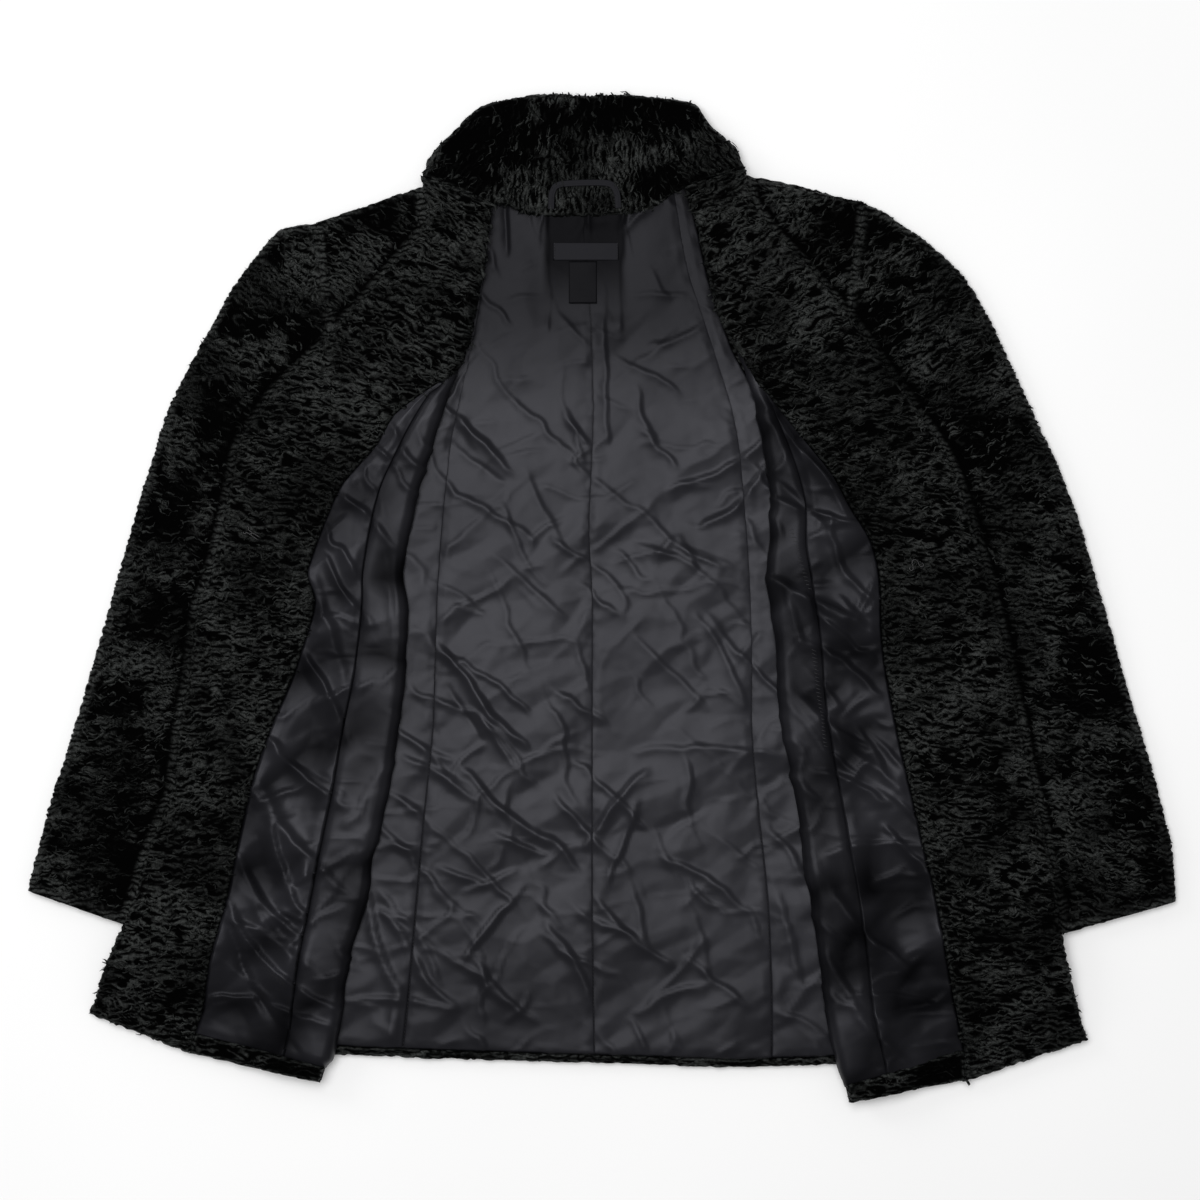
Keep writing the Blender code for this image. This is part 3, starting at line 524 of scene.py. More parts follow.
# Which way the ridges of the pile run around some places, in pixels of the photograph. lean is
# the angle above the photograph's horizontal, in degrees, and reach is in millimetres.
FACING_NAP_LEFT = [
    Nap(400, 300, 90, -24),
    Nap(300, 480, 90, -8),
    Nap(250, 700, 120, 4),
    Nap(180, 950, 120, 0),
]
FACING_NAP_RIGHT = [
    Nap(760, 280, 80, 28),
    Nap(860, 420, 80, 20),
    Nap(920, 640, 120, 4),
    Nap(990, 950, 140, 2),
]
SLEEVE_NAP_LEFT = [
    Nap(270, 260, 80, -34),
    Nap(220, 420, 90, -18),
    Nap(150, 650, 120, 6),
    Nap(100, 830, 100, 3),
]
SLEEVE_NAP_RIGHT = [
    Nap(900, 260, 80, 34),
    Nap(970, 400, 90, 18),
    Nap(1050, 640, 120, -4),
    Nap(1110, 850, 100, -6),
]
CHEST_NAP_LEFT = [Nap(360, 230, 80, -32)]
CHEST_NAP_RIGHT = [Nap(800, 230, 80, 34)]
COLLAR_NAP = [
    Nap(450, 160, 45, 50),
    Nap(520, 160, 45, 78),
    Nap(585, 160, 50, 92),
    Nap(650, 160, 45, 104),
    Nap(716, 160, 45, 130),
]
HEM_NAP = [Nap(600, 1070, 500, 0)]

Side = namedtuple(
    "Side",
    "name mirror front lining_from roll_cover sleeve seed sleeve_seed"
    " facing_nap chest_nap sleeve_nap lining_folds facing_folds sleeve_folds",
)
# The coat's two sides. lining_from is the place in the front's table at which its lining begins,
# and roll_cover is how far the facing's fur goes over the roll above that, beside the neck.
SIDES = (
    Side(
        name="left",
        mirror=-1,
        front=LEFT_FRONT,
        lining_from=5.25,
        roll_cover=8.0,
        sleeve=LEFT_SLEEVE,
        seed=11,
        sleeve_seed=31,
        facing_nap=FACING_NAP_LEFT,
        chest_nap=CHEST_NAP_LEFT,
        sleeve_nap=SLEEVE_NAP_LEFT,
        lining_folds=LEFT_FOLDS,
        facing_folds=LEFT_FACING_FOLDS,
        sleeve_folds=LEFT_SLEEVE_FOLDS,
    ),
    Side(
        name="right",
        mirror=1,
        front=RIGHT_FRONT,
        lining_from=7.1,
        roll_cover=4.0,
        sleeve=RIGHT_SLEEVE,
        seed=21,
        sleeve_seed=41,
        facing_nap=FACING_NAP_RIGHT,
        chest_nap=CHEST_NAP_RIGHT,
        sleeve_nap=SLEEVE_NAP_RIGHT,
        lining_folds=RIGHT_FOLDS,
        facing_folds=RIGHT_FACING_FOLDS,
        sleeve_folds=RIGHT_SLEEVE_FOLDS,
    ),
)


def mix(a, b, t):
    return a + (b - a) * t


def smooth(t):
    t = np.clip(t, 0.0, 1.0)
    return t * t * (3 - 2 * t)


def unit(vectors):
    return vectors / np.maximum(np.linalg.norm(vectors, axis=-1, keepdims=True), 1e-9)


def plan(x, y):
    return np.stack([x, y], axis=-1)


def place(points, heights):
    """Points of the plan with their heights."""
    return np.concatenate([points, np.broadcast_to(heights, points.shape[:-1])[..., None]], axis=-1)


def from_photo(x, y):
    return (x - PHOTO_MIDDLE[0]) * PHOTO_MM, (PHOTO_MIDDLE[1] - y) * PHOTO_MM


def turned_by(x, y, lean):
    """Distances along and across lines that lean by an angle in degrees."""
    lean = math.radians(lean)
    return x * math.cos(lean) + y * math.sin(lean), y * math.cos(lean) - x * math.sin(lean)


def apart(a, b):
    """How far points lie from each other."""
    return np.linalg.norm(a - b, axis=-1)


def quarter(distance, radius):
    """From 0 at an edge to 1 a radius away from it, on a quarter of a circle."""
    return np.sqrt(1 - (1 - np.clip(distance / radius, 0, 1)) ** 2)


def put(name, data):
    """A new object in the scene."""
    made = bpy.data.objects.new(name, data)
    bpy.context.scene.collection.objects.link(made)
    return made


# ---- Tables into smooth sections ----


def on_curve(p0, p1, p2, p3, t, pull):
    """Between p1 and p2 on a smooth curve, which their neighbours pull at."""
    return (
        (2 * t**3 - 3 * t**2 + 1) * p1
        + (t**3 - 2 * t**2 + t) * (p2 - p0) * pull
        + (3 * t**2 - 2 * t**3) * p2
        + (t**3 - t**2) * (p3 - p1) * pull
    )


def rows_at(table, places):
    """The table's columns at some row numbers, on smooth curves, as arrays."""
    values = np.array(table, float)
    last = len(table) - 1
    k = np.clip(np.floor(places).astype(int), 0, last - 1)
    t = (places - k)[:, None]
    p0, p1 = values[np.maximum(k - 1, 0)], values[k]
    p2, p3 = values[k + 1], values[np.minimum(k + 2, last)]
    curve = on_curve(p0, p1, p2, p3, t, 0.5)
    return type(table[0])(*mix(mix(p1, p2, t), curve, ROUNDING).T)


def even_places(table, first, last, step, *edges):
    """Row numbers of the table that are about a step apart along the longest of some edges."""
    places = np.linspace(first, last, 40 * len(table))
    rows = rows_at(table, places)
    runs = []
    for x, y in edges:
        run = np.hypot(np.diff(getattr(rows, x)), np.diff(getattr(rows, y)))
        runs.append(run)
    travelled = np.concatenate([[0.0], np.cumsum(np.max(runs, axis=0))])
    count = max(int(round(travelled[-1] / step)), 2)
    return np.interp(np.linspace(0, travelled[-1], count + 1), travelled, places)


def on_line(points, at, key="y", value="x"):
    """The value on a polyline of named points, by its key."""
    ordered = sorted(points, key=lambda p: getattr(p, key))
    keys = [getattr(p, key) for p in ordered]
    return np.interp(at, keys, [getattr(p, value) for p in ordered])


def steps_across(width, step):
    return np.linspace(0.0, 1.0, max(int(round(width / step)), 2) + 1)


# ---- Noise, pile and creases ----


def lattice(i, j, seed):
    n = (i * 374761393 + j * 668265263 + seed * 974634521) & 0xFFFFFFFF
    n = ((n ^ (n >> 13)) * 1274126177) & 0xFFFFFFFF
    return ((n ^ (n >> 16)) & 0xFFFF) / 65535.0


def noise(x, y, seed):
    """Smooth value noise from -1 to 1, one lump to each unit of x and y."""
    i, j = np.floor(x).astype(np.int64), np.floor(y).astype(np.int64)
    u, v = x - i, y - j
    u = u**3 * (u * (u * 6 - 15) + 10)
    v = v**3 * (v * (v * 6 - 15) + 10)
    low = mix(lattice(i, j, seed), lattice(i + 1, j, seed), u)
    high = mix(lattice(i, j + 1, seed), lattice(i + 1, j + 1, seed), u)
    return 2 * mix(low, high, v) - 1


Swing = namedtuple("Swing", "height along across")
# How far the ridges of the pile swing aside, in lumps of a length and a width, and how much
# they rise and fall.
RIDGE_SWINGS = (Swing(4.5, 26, 30), Swing(2.8, 10, 13), Swing(1.5, 4.5, 5), Swing(3.4, 15, 7))
RIDGE_BREAKS = Swing(0.6, 9, 4.2)


def ridges(along, across, seed, pitch):
    """Wavy, broken ridges: neighbours swing together, and each one starts and ends."""
    aside = 0.0
    for number, swing in enumerate(RIDGE_SWINGS):
        aside = aside + swing.height * noise(along / swing.along, across / swing.across, seed + number)
    crest = np.abs(np.sin(np.pi * (across + aside) / pitch)) ** 1.2
    breaks = noise(along / RIDGE_BREAKS.along, across / RIDGE_BREAKS.across, seed + len(RIDGE_SWINGS))
    broken = 0.6 + RIDGE_BREAKS.height * breaks
    return crest * np.clip(0.3 + broken, 0, 1)


def curled_pile(x, y, nap, seed, sparse=SPARSE):
    """Height of the curled pile from 0 to 1, and the way that its ridges run there."""
    total = np.zeros_like(x)
    height = np.zeros_like(x)
    lay = np.zeros(x.shape + (2,))
    for number, patch in enumerate(nap):
        middle_x, middle_y = from_photo(patch.x, patch.y)
        far = np.hypot(x - middle_x + 18 * noise(x / 30, y / 30, seed + 50), y - middle_y)
        weight = (np.exp(-((far / patch.reach) ** 2) * 3) + 1e-9) ** 2
        lean = math.radians(patch.lean)
        along, across = turned_by(x, y, patch.lean)
        own = seed + 100 * number
        one = ridges(along, across, own, CURL_PITCH)
        other = ridges(along, across, own + 20, CROSSING_PITCH)
        height += weight * np.maximum(one, 0.92 * other)
        lay += weight[..., None] * np.array([math.cos(lean), math.sin(lean)])
        total += weight
    worn = noise(x / 42, y / 30, seed + 77) + 0.5 * noise(x / 15, y / 11, seed + 78)
    standing = np.clip(0.95 - 0.3 * sparse + sparse * worn, LEAST_PILE, 1)
    return np.clip(height / total * standing, 0, 1), unit(lay)


def crease_profile(aside, width):
    """A crease across its line: it rises softly and falls steeply, as laid satin does."""
    soft = np.maximum(-aside, 0) / (0.75 * width)
    steep = np.maximum(aside, 0) / (0.24 * width)
    return np.exp(-(soft**1.3) - steep**1.5)


def folded(x, y, folds):
    """Height of the creases and hollows at some places, in millimetres."""
    height = np.zeros_like(x)
    for fold in folds:
        x0, y0 = from_photo(fold.from_x, fold.from_y)
        x1, y1 = from_photo(fold.to_x, fold.to_y)
        run_x, run_y = x1 - x0, y1 - y0
        length = math.hypot(run_x, run_y)
        along = ((x - x0) * run_x + (y - y0) * run_y) / length**2
        aside = ((y - y0) * run_x - (x - x0) * run_y) / length
        middle = np.clip(along, 0, 1)
        aside = aside - fold.bow * 4 * middle * (1 - middle) + 1.5 * noise(x / 14, y / 14, 9)
        past = np.maximum(np.abs(along - 0.5) - 0.5, 0) * length
        swell = 0.55 + 0.45 * smooth(3 * middle * (1 - middle) + 0.25)
        ends = smooth(1 - past / (1.6 * fold.width)) * swell
        height += fold.height * ends * crease_profile(aside, fold.width)
    return height


def facets(x, y, size, seed):
    """Crumpled planes with sharp creases between them, each about one size across."""
    x = x / size + 0.35 * noise(x / (1.7 * size), y / (1.7 * size), seed + 6)
    y = y / size + 0.35 * noise(x * 0.6, y / (1.7 * size), seed + 7)
    i, j = np.floor(x).astype(np.int64), np.floor(y).astype(np.int64)
    u, v = x - i, y - j
    a, c = lattice(i, j, seed), lattice(i + 1, j + 1, seed)
    b = np.where(u > v, lattice(i + 1, j, seed), lattice(i, j + 1, seed))
    return 2 * (a * (1 - np.maximum(u, v)) + b * np.abs(u - v) + c * np.minimum(u, v)) - 1


def large_planes(x, y, seed):
    """The satin's large crumpled planes, which slant across its grain."""
    return facets(x * 0.82 - y * 0.57, (x * 0.57 + y * 0.82) * 0.62, LARGE_PLANES, seed)


def small_planes(x, y, seed):
    """The small ones between them."""
    return facets(x * 0.8, y, SMALL_PLANES, seed + 3)


Crease = namedtuple("Crease", "lean long wide tall")
# The straight creases of loose satin. lean is in degrees.
LOOSE_CREASES = (
    Crease(-42, 80, 19, 1.9),
    Crease(40, 60, 17, 1.3),
    Crease(-64, 75, 22, 1.5),
    Crease(6, 50, 15, 0.8),
)


def rumpled(x, y, seed):
    """Loose satin's rumples: crumpled planes, and straight slanting creases over them."""
    height = 2.0 * large_planes(x, y, seed) + 0.9 * small_planes(x, y, seed)
    for number, (lean, long, wide, tall) in enumerate(LOOSE_CREASES):
        along, across = turned_by(x, y, lean)
        own = seed + 10 * number
        turn = across / (2.2 * wide) + 0.42 * noise(along / long, across / (4 * wide), own + 3)
        turn += 0.07 * noise(along / 13, across / 20, own + 5)
        aside = (turn - np.round(turn)) * 2.2 * wide
        some = smooth(0.15 + 1.1 * noise(along / (0.6 * long), np.round(turn) * 3.7, own + 4))
        some = some * smooth(1.5 - 2.4 * np.abs(aside) / wide)
        height += tall * some * crease_profile(aside, 0.32 * wide)
    return height + 0.1 * noise(x / 7, y / 9, seed + 5)


# ---- Closed cloth ----


def edge_distance(points):
    """How far each point of a grid lies from the grid's nearest edge."""
    across = np.linalg.norm(np.diff(points, axis=1), axis=-1)
    down = np.linalg.norm(np.diff(points, axis=0), axis=-1)
    rows, cols = points.shape[:2]
    from_left = np.concatenate([np.zeros((rows, 1)), np.cumsum(across, axis=1)], axis=1)
    from_top = np.concatenate([np.zeros((1, cols)), np.cumsum(down, axis=0)], axis=0)
    aside = np.minimum(from_left, from_left[:, -1:] - from_left)
    along = np.minimum(from_top, from_top[-1:] - from_top)
    return np.minimum(aside, along)


def rounded(top, under, distance, radius):
    """The two faces of a cloth, drawn together over a radius at its edges."""
    swell = quarter(distance, radius)[..., None]
    middle = (top + under) / 2
    return mix(middle, top, swell), mix(middle, under, swell)


def outward_normals(points, up=slice(None)):
    """Normals of a grid. Those of some of its columns are known to point up."""
    normals = unit(np.cross(np.gradient(points, axis=0), np.gradient(points, axis=1)))
    return normals if normals[:, up, 2].mean() > 0 else -normals


def grid_faces(number):
    corners = (number[:-1, :-1], number[1:, :-1], number[1:, 1:], number[:-1, 1:])
    return np.stack([c.ravel() for c in corners], axis=1)


def kept_columns(cols, spacing):
    """The columns that a hidden underside needs: its edges, and a few between."""
    return sorted({0, 1, 2, cols - 3, cols - 2, cols - 1, *range(2, cols - 2, spacing)})


def mesh_of(name, points, faces, polygons, material, marks):
    """A mesh of quads and a few larger polygons, in metres, with its faces pointing outwards."""
    points = (points + np.array([*CENTRE_SHIFT, 0.0])) * MM
    a, b, c, d = (points[faces[:, k]] for k in range(4))
    volume = np.einsum("ij,ij->", a, np.cross(b, c)) + np.einsum("ij,ij->", a, np.cross(c, d))
    if volume < 0:
        faces = faces[:, ::-1]
        polygons = [list(reversed(p)) for p in polygons]
    corners = np.concatenate([faces.ravel(), *[np.array(p) for p in polygons]]).astype(np.int32)
    sizes = np.concatenate([np.full(len(faces), 4), [len(p) for p in polygons]]).astype(np.int32)
    mesh = bpy.data.meshes.new(name)
    mesh.vertices.add(len(points))
    mesh.vertices.foreach_set("co", points.astype(np.float32).ravel())
    mesh.loops.add(len(corners))
    mesh.loops.foreach_set("vertex_index", corners)
    mesh.polygons.add(len(sizes))
    starts = np.concatenate([[0], np.cumsum(sizes)[:-1]]).astype(np.int32)
    mesh.polygons.foreach_set("loop_start", starts)
    mesh.update(calc_edges=True)
    for mark, values in marks.items():
        kind, field = ("FLOAT", "value") if values.ndim == 1 else ("FLOAT_VECTOR", "vector")
        layer = mesh.attributes.new(mark, kind, "POINT")
        layer.data.foreach_set(field, values.astype(np.float32).ravel())
    mesh.materials.append(material)
    mesh.shade_smooth()
    return put(name, mesh)


def closed_cloth(name, top, under, material, spacing=10, marks=None):
    """One closed piece of cloth: a fine top, and an underside with only some of its columns."""
    rows, cols = top.shape[:2]
    keep = kept_columns(cols, spacing)
    number = np.arange(rows * cols).reshape(rows, cols)
    below = number[:, keep].copy()
    inner = (rows - 2, len(keep) - 2)
    below[1:-1, 1:-1] = rows * cols + np.arange(inner[0] * inner[1]).reshape(inner)
    hidden = under[1:-1][:, keep[1:-1]]
    points = np.concatenate([top.reshape(-1, 3), hidden.reshape(-1, 3)])
    faces = np.concatenate([grid_faces(number), grid_faces(below[1:-1])[:, ::-1]])
    polygons = []
    for k, (a, b) in enumerate(zip(keep, keep[1:])):
        polygons.append([*number[0, a : b + 1], below[1, k + 1], below[1, k]])
        polygons.append([*number[-1, a : b + 1][::-1], below[-2, k], below[-2, k + 1]])
    whole = {}
    for mark, values in (marks or {}).items():
        rest = values[1:-1][:, keep[1:-1]].reshape(hidden.shape[0] * hidden.shape[1], -1)
        whole[mark] = np.squeeze(np.concatenate([values.reshape(rows * cols, -1), rest]))
    return mesh_of(name, points, faces, polygons, material, whole)


def curl_relief(pile):
    """How far the pile's ridges and valleys lie from the solid's surface."""
    return CURL_CREST - CURL_DEPTH * (1 - pile)


def fur_cloth(name, top, under, nap, seed, shown, folds=(), edge=FUR / 2, only_edges=False, sparse=SPARSE):
    """A piece of faux fur: rounded at its edges, with the curled pile raised on its top.
    shown says where the pile is seen, from 0 to 1."""
    distance = edge_distance(top)
    x, y = top[..., 0], top[..., 1]
    if folds:
        top = top + place(np.zeros(x.shape + (2,)), folded(x, y, folds) * smooth(distance / EDGE_FOLDS))
    top, under = rounded(top, under, distance, edge)
    pile, lay = curled_pile(x, y, nap, seed, sparse)
    raised = curl_relief(pile)
    if only_edges:
        raised = raised * (1 - smooth(distance / EDGE_PILE))
    top = top + outward_normals(top) * raised[..., None]
    marks = {
        # The crests' painted light follows the pile's height, with painted shade towards the edges.
        "pile": pile * mix(EDGE_PAINTED_SHADE, 1.0, smooth(distance / EDGE_SHADE_REACH)),
        "lay": place(lay, 0.0),
        "shown": shown * smooth((distance - 1) / 3),
    }
    return closed_cloth(name, top, under, MATERIALS["fur"], marks=marks)


def settled(rise):
    """Hollows end softly on the layer below."""
    return np.logaddexp(0.0, 3 * (rise + 0.2)) / 3 - 0.2


LABELS_MIDDLE = (-15, 284)
LABELS_HALF = (34, 30)  # half of the width and height of both labels and what they hold flat


def held_by_labels(x, y):
    """The labels' stitches hold the lining flat, and its upper part lies smoother."""
    aside = np.maximum(np.abs(x - LABELS_MIDDLE[0]) - LABELS_HALF[0], 0)
    along = np.maximum(np.abs(y - LABELS_MIDDLE[1]) - LABELS_HALF[1], 0)
    near = aside**2 + along**2
    return (1 - 0.75 * np.exp(-near / 250)) * mix(1.0, 0.7, smooth((y - 90) / 120))


PLEAT_X = -16  # middle of the pleat that goes from the neck down to the labels, which is drawn in painted shade
PLEAT_HALF = 35
PLEAT_FOOT = 240


def painted_light_on_back(x, y, seed):
    """Painted light on the back's satin: painted shade in the pleat and towards its two ends, and patches a
    little lighter or darker.
    """
    aside = np.abs(x - PLEAT_X + 2.5 * noise(x / 9, y / 16, seed))
    # painted shade in the pleat, and below it painted shade towards the neck and the hem
    pleat = smooth((PLEAT_HALF - aside) / 7 + 0.5) * smooth((y - PLEAT_FOOT) / 60)
    ends = 0.58 * smooth((y - 150) / 110) + 0.25 * smooth((-270 - y) / 90)
    planes = 1 + 0.16 * facets(x * 0.8, y * 0.6, LARGE_PLANES, seed + 4)
    return np.clip((1.0 - ends) * (1 - 0.75 * pleat) * planes, 0.1, 1)


def painted_light_on_front(x, y, seed):
    """Painted light on a front's satin: darker overall than the back's, and lighter or darker with the same
    crumpled planes that its relief has.
    """
    return np.clip(0.59 + 0.46 * large_planes(x, y, seed) + 0.3 * small_planes(x, y, seed), 0.05, 1)


def satin_cloth(name, plan_points, base, folds, seed, loose, painted_light_at):
    """A piece of satin lining that lies on a height, with its creases. The seams pull it flat,
    and the last argument gives its painted light and shade at a place."""
    x, y = plan_points[..., 0], plan_points[..., 1]
    flat = place(plan_points, base)
    distance = edge_distance(flat)
    free = smooth(distance / SEAM_HOLD)
    puckers = PUCKER * noise(x / PUCKER_LENGTH, y / PUCKER_LENGTH, seed + 8)
    puckers = puckers * np.exp(-distance / PUCKER_REACH)
    held = held_by_labels(x, y)
    rise = (loose * rumpled(x, y, seed) + 0.9 + 1.5 * loose) * (0.7 + 0.3 * free) * held
    rise += loose * folded(x, y, folds) * (0.5 + 0.5 * free) * held
    rise = settled(rise) + puckers - SEAM_DIP * np.exp(-((distance / SEAM_WIDTH) ** 2))
    under = flat + place(np.zeros_like(plan_points), rise + SATIN_AIR)
    top = under + np.array([0, 0, LINING])
    top, under = rounded(top, under, distance, LINING / 2)
    return closed_cloth(name, top, under, MATERIALS["satin"], 1, {"catch": painted_light_at(x, y, seed)})


# ---- The back ----


def back_shell():
    """The fur back. Only its edges show, so its rows are close together there."""
    left, right = BACK_TOP_EDGE[0].x, BACK_TOP_EDGE[-1].x
    share = np.linspace(0, 1, 170)
    top_y = on_line(BACK_TOP_EDGE, mix(left, right, share), "x", "y")
    hem_y = on_line(BACK_HEM, mix(BACK_HEM[0].x, BACK_HEM[-1].x, share), "x", "y")
    close = np.array([0, 1.5, 3, 5, 8]) / 740
    down = np.concatenate([close, np.linspace(0.03, 0.97, 40), 1 - close[::-1]])[:, None]
    y = mix(top_y[None, :], hem_y[None, :], down)
    x = mix(on_line(BACK_EDGES, y, "y", "left"), on_line(BACK_EDGES, y, "y", "right"), share)
    points = plan(x, y)
    return fur_cloth("fur_back", place(points, FUR), place(points, 0.0), HEM_NAP, 3, 0.0, only_edges=True)


def back_lining(name, left_seam, right_seam, seed):
    """One panel of the back lining, between two seams of the table."""
    first, last = BACK_PANELS[0].y, BACK_PANELS[-1].y
    places = even_places(BACK_PANELS, 0, len(BACK_PANELS) - 1, SATIN_STEP, (left_seam, "y"))
    rows = rows_at(BACK_PANELS, places)
    left = getattr(rows, left_seam) - SATIN_LAP
    right = getattr(rows, right_seam) + SATIN_LAP
    across = steps_across((right - left).mean(), SATIN_STEP)
    x = mix(left[:, None], right[:, None], across)
    y = np.broadcast_to(rows.y[:, None], x.shape).copy()
    top = np.minimum(on_line(BACK_TOP_EDGE, x, "x", "y") - LINING_MARGIN, first + TOP_REACH)
    y += (top - first) * smooth(1 - (first - rows.y) / PANEL_ENDS)[:, None]
    hem = on_line(BACK_HEM, x, "x", "y") + HEM_BAND
    y += (hem - last) * smooth(1 - (rows.y - last) / PANEL_ENDS)[:, None]
    return satin_cloth(name, plan(x, y), BACK_LINING, BACK_FOLDS, seed, 1.0, painted_light_on_back)


def back_hem():
    """The back's turned-up hem, which shows as a narrow band below the lining."""
    across = np.linspace(*BACK_HEM_SPAN, 260)
    down = np.linspace(1, 0, 8)[:, None]
    y = on_line(BACK_HEM, across, "x", "y") + (HEM_BAND + 1) * down - 1
    low = place(plan(np.broadcast_to(across, y.shape), y), BACK_LINING)
    top = low + [0, 0, HEM_BAND_THICK]
    return fur_cloth("fur_hem_back", top, low, HEM_NAP, 5, 1.0, edge=HEM_BAND_THICK / 2)


# ---- The fronts ----


Section = namedtuple("Section", "roll free seam side out middle centre heading low rows")

HIDDEN_STEP = 5.0  # mesh step of the leaf that doesn't show
SHELL_SAG = 1.2  # how far the upper leaf hangs below its lining
ROLL_TURNS = np.linspace(0.05 * math.pi, 0.5 * math.pi, 5)[:-1]  # round the roll, from its inside
# Lengths along a front, in rows of its table.
CHEST_ROWS = 6.5  # of the chest, which shows
BRIM_ROWS = 0.2  # of the hem's rounded edge
HEM_ROWS = 0.95  # of the hem's band
COVER_ENDS = 0.4  # past the start of the lining, the facing covers the roll up to here
ROLL_LINING_ABOVE = 1.6  # the roll's lining begins this far above the front's


def front_sections(coat_side, places):
    """Sections of a front: the points of the plan that each one passes through."""
    rows = rows_at(coat_side.front, places)
    roll, free = plan(rows.roll_x, rows.roll_y), plan(rows.free_x, rows.free_y)
    seam = plan(rows.seam_x, rows.seam_y)
    width = apart(seam, roll)
    turn = smooth((width - NARROW_FOLD) / FOLD_TURN)[:, None]
    heading = unit(mix(unit(free - roll), unit(seam - roll), turn))
    side = roll + heading * np.minimum(FOLD_RADIUS + rows.side, 0.8 * width)[:, None]
    edge, end = ("left", 0) if coat_side.mirror < 0 else ("right", -1)
    out_y = roll[:, 1] + LEAF_RISE * places / (len(coat_side.front) - 1)
    out_y = np.minimum(out_y, BACK_TOP_EDGE[end].y)
    out = plan(on_line(BACK_EDGES, out_y, "y", edge) + coat_side.mirror * SEAM_LAP / 2, out_y)
    shoulder = np.clip(1 - places, 0, 1)[:, None]
    middle = mix((roll + out) / 2, free - [0, LEAF_TUCK], shoulder)
    centre = roll + heading * FOLD_RADIUS
    return Section(roll, free, seam, side, out, middle, centre, heading, rows.low, rows)


def fold_drop(points, sections, above):
    """How far a layer that lies above the backing falls where it goes over the roll."""
    past = np.einsum("ijk,ik->ij", points - sections.roll[:, None], sections.heading)
    radius = FOLD_RADIUS + above
    inside = np.clip(FOLD_RADIUS - past, 0, radius)
    return radius - np.sqrt(radius**2 - inside**2)


def lining_height(rows, t):
    """Height of the upper leaf's backing from the side seam, t 0, to the facing's seam, t 1."""
    rows = type(rows)(*[column[:, None] for column in rows])
    pull = np.maximum(2 * rows.under_mid - (rows.under_side + rows.under_seam) / 2, 0.0)
    return FUR + (1 - t) ** 2 * rows.under_side + t**2 * rows.under_seam + 2 * t * (1 - t) * pull


def facing_height(rows, t):
    return FUR + mix(rows.under_seam[:, None], rows.under_free[:, None], smooth(t))


def fur_layer(points, base, sections):
    """The two faces of a fur layer that lies on the backing and falls where it goes over the roll."""
    top, under = (
        place(points, base + above - fold_drop(points, sections, above)) for above in (GAP + FUR, GAP)
    )
    return top, under


def facing(coat_side):
    """The fur facing: lapel and front edge, from the lining's seam to the free edge. Above the
    lining it goes a little way over the roll."""
    table = coat_side.front
    edges = ("seam_x", "seam_y"), ("free_x", "free_y")
    places = even_places(table, 0, len(table) - 1, PILE_STEP, *edges)
    sections = front_sections(coat_side, places)
    over = coat_side.roll_cover * smooth(coat_side.lining_from + COVER_ENDS - places)
    start = sections.seam - sections.heading * over[:, None]
    t = steps_across(apart(sections.free, start).mean(), PILE_STEP)
    points = mix(start[:, None], sections.free[:, None], t[:, None])
    top, under = fur_layer(points, facing_height(sections.rows, t), sections)
    name, nap, folds = "fur_facing_" + coat_side.name, coat_side.facing_nap, coat_side.facing_folds
    return fur_cloth(name, top, under, nap, coat_side.seed, 1.0, folds, sparse=SPARSE_FACING)


def lining_end(table):
    """The place in a front's table at which its lining ends, above the hem's band."""
    return len(table) - 2 + 0.15


def front_lining(coat_side):
    """The satin between the side seam and the facing."""
    table = coat_side.front
    edges = ("seam_x", "seam_y"), ("roll_x", "roll_y")
    places = even_places(table, coat_side.lining_from, lining_end(table), SATIN_STEP, *edges)
    sections = front_sections(coat_side, places)
    t = steps_across(apart(sections.seam, sections.side).mean(), SATIN_STEP)
    start = sections.side - sections.heading * SATIN_LAP
    points = mix(start[:, None], sections.seam[:, None], t[:, None])
    base = lining_height(sections.rows, t) + GAP - fold_drop(points, sections, GAP)
    name, folds, seed = "satin_front_" + coat_side.name, coat_side.lining_folds, coat_side.seed + 2
    return satin_cloth(name, points, base, folds, seed, FRONT_LOOSE, painted_light_on_front)


def roll_face(sections, reach, above):
    """A face of the roll's lining, some way above the fur's backing: round the roll, and then up
    to the side seam."""
    radius = FOLD_RADIUS + above
    grid = []
    for turn in ROLL_TURNS:
        spot = sections.centre - sections.heading * radius * math.sin(turn)
        grid.append(place(spot, sections.low + FOLD_RADIUS - radius * math.cos(turn)))
    for share in np.linspace(0, 1, 15):
        past = mix(-above, reach, share)
        spot = sections.roll + sections.heading * past[:, None]
        over = np.clip((past - FOLD_RADIUS) / np.maximum(reach - FOLD_RADIUS, 1.0), 0, 1)
        height = mix(sections.low + 2 * FOLD_RADIUS, FUR + sections.rows.under_side, over) + above
        inside = np.clip(FOLD_RADIUS - past, 0, radius)
        grid.append(place(spot, height - radius + np.sqrt(radius**2 - inside**2)))
    return np.stack(grid, axis=1)


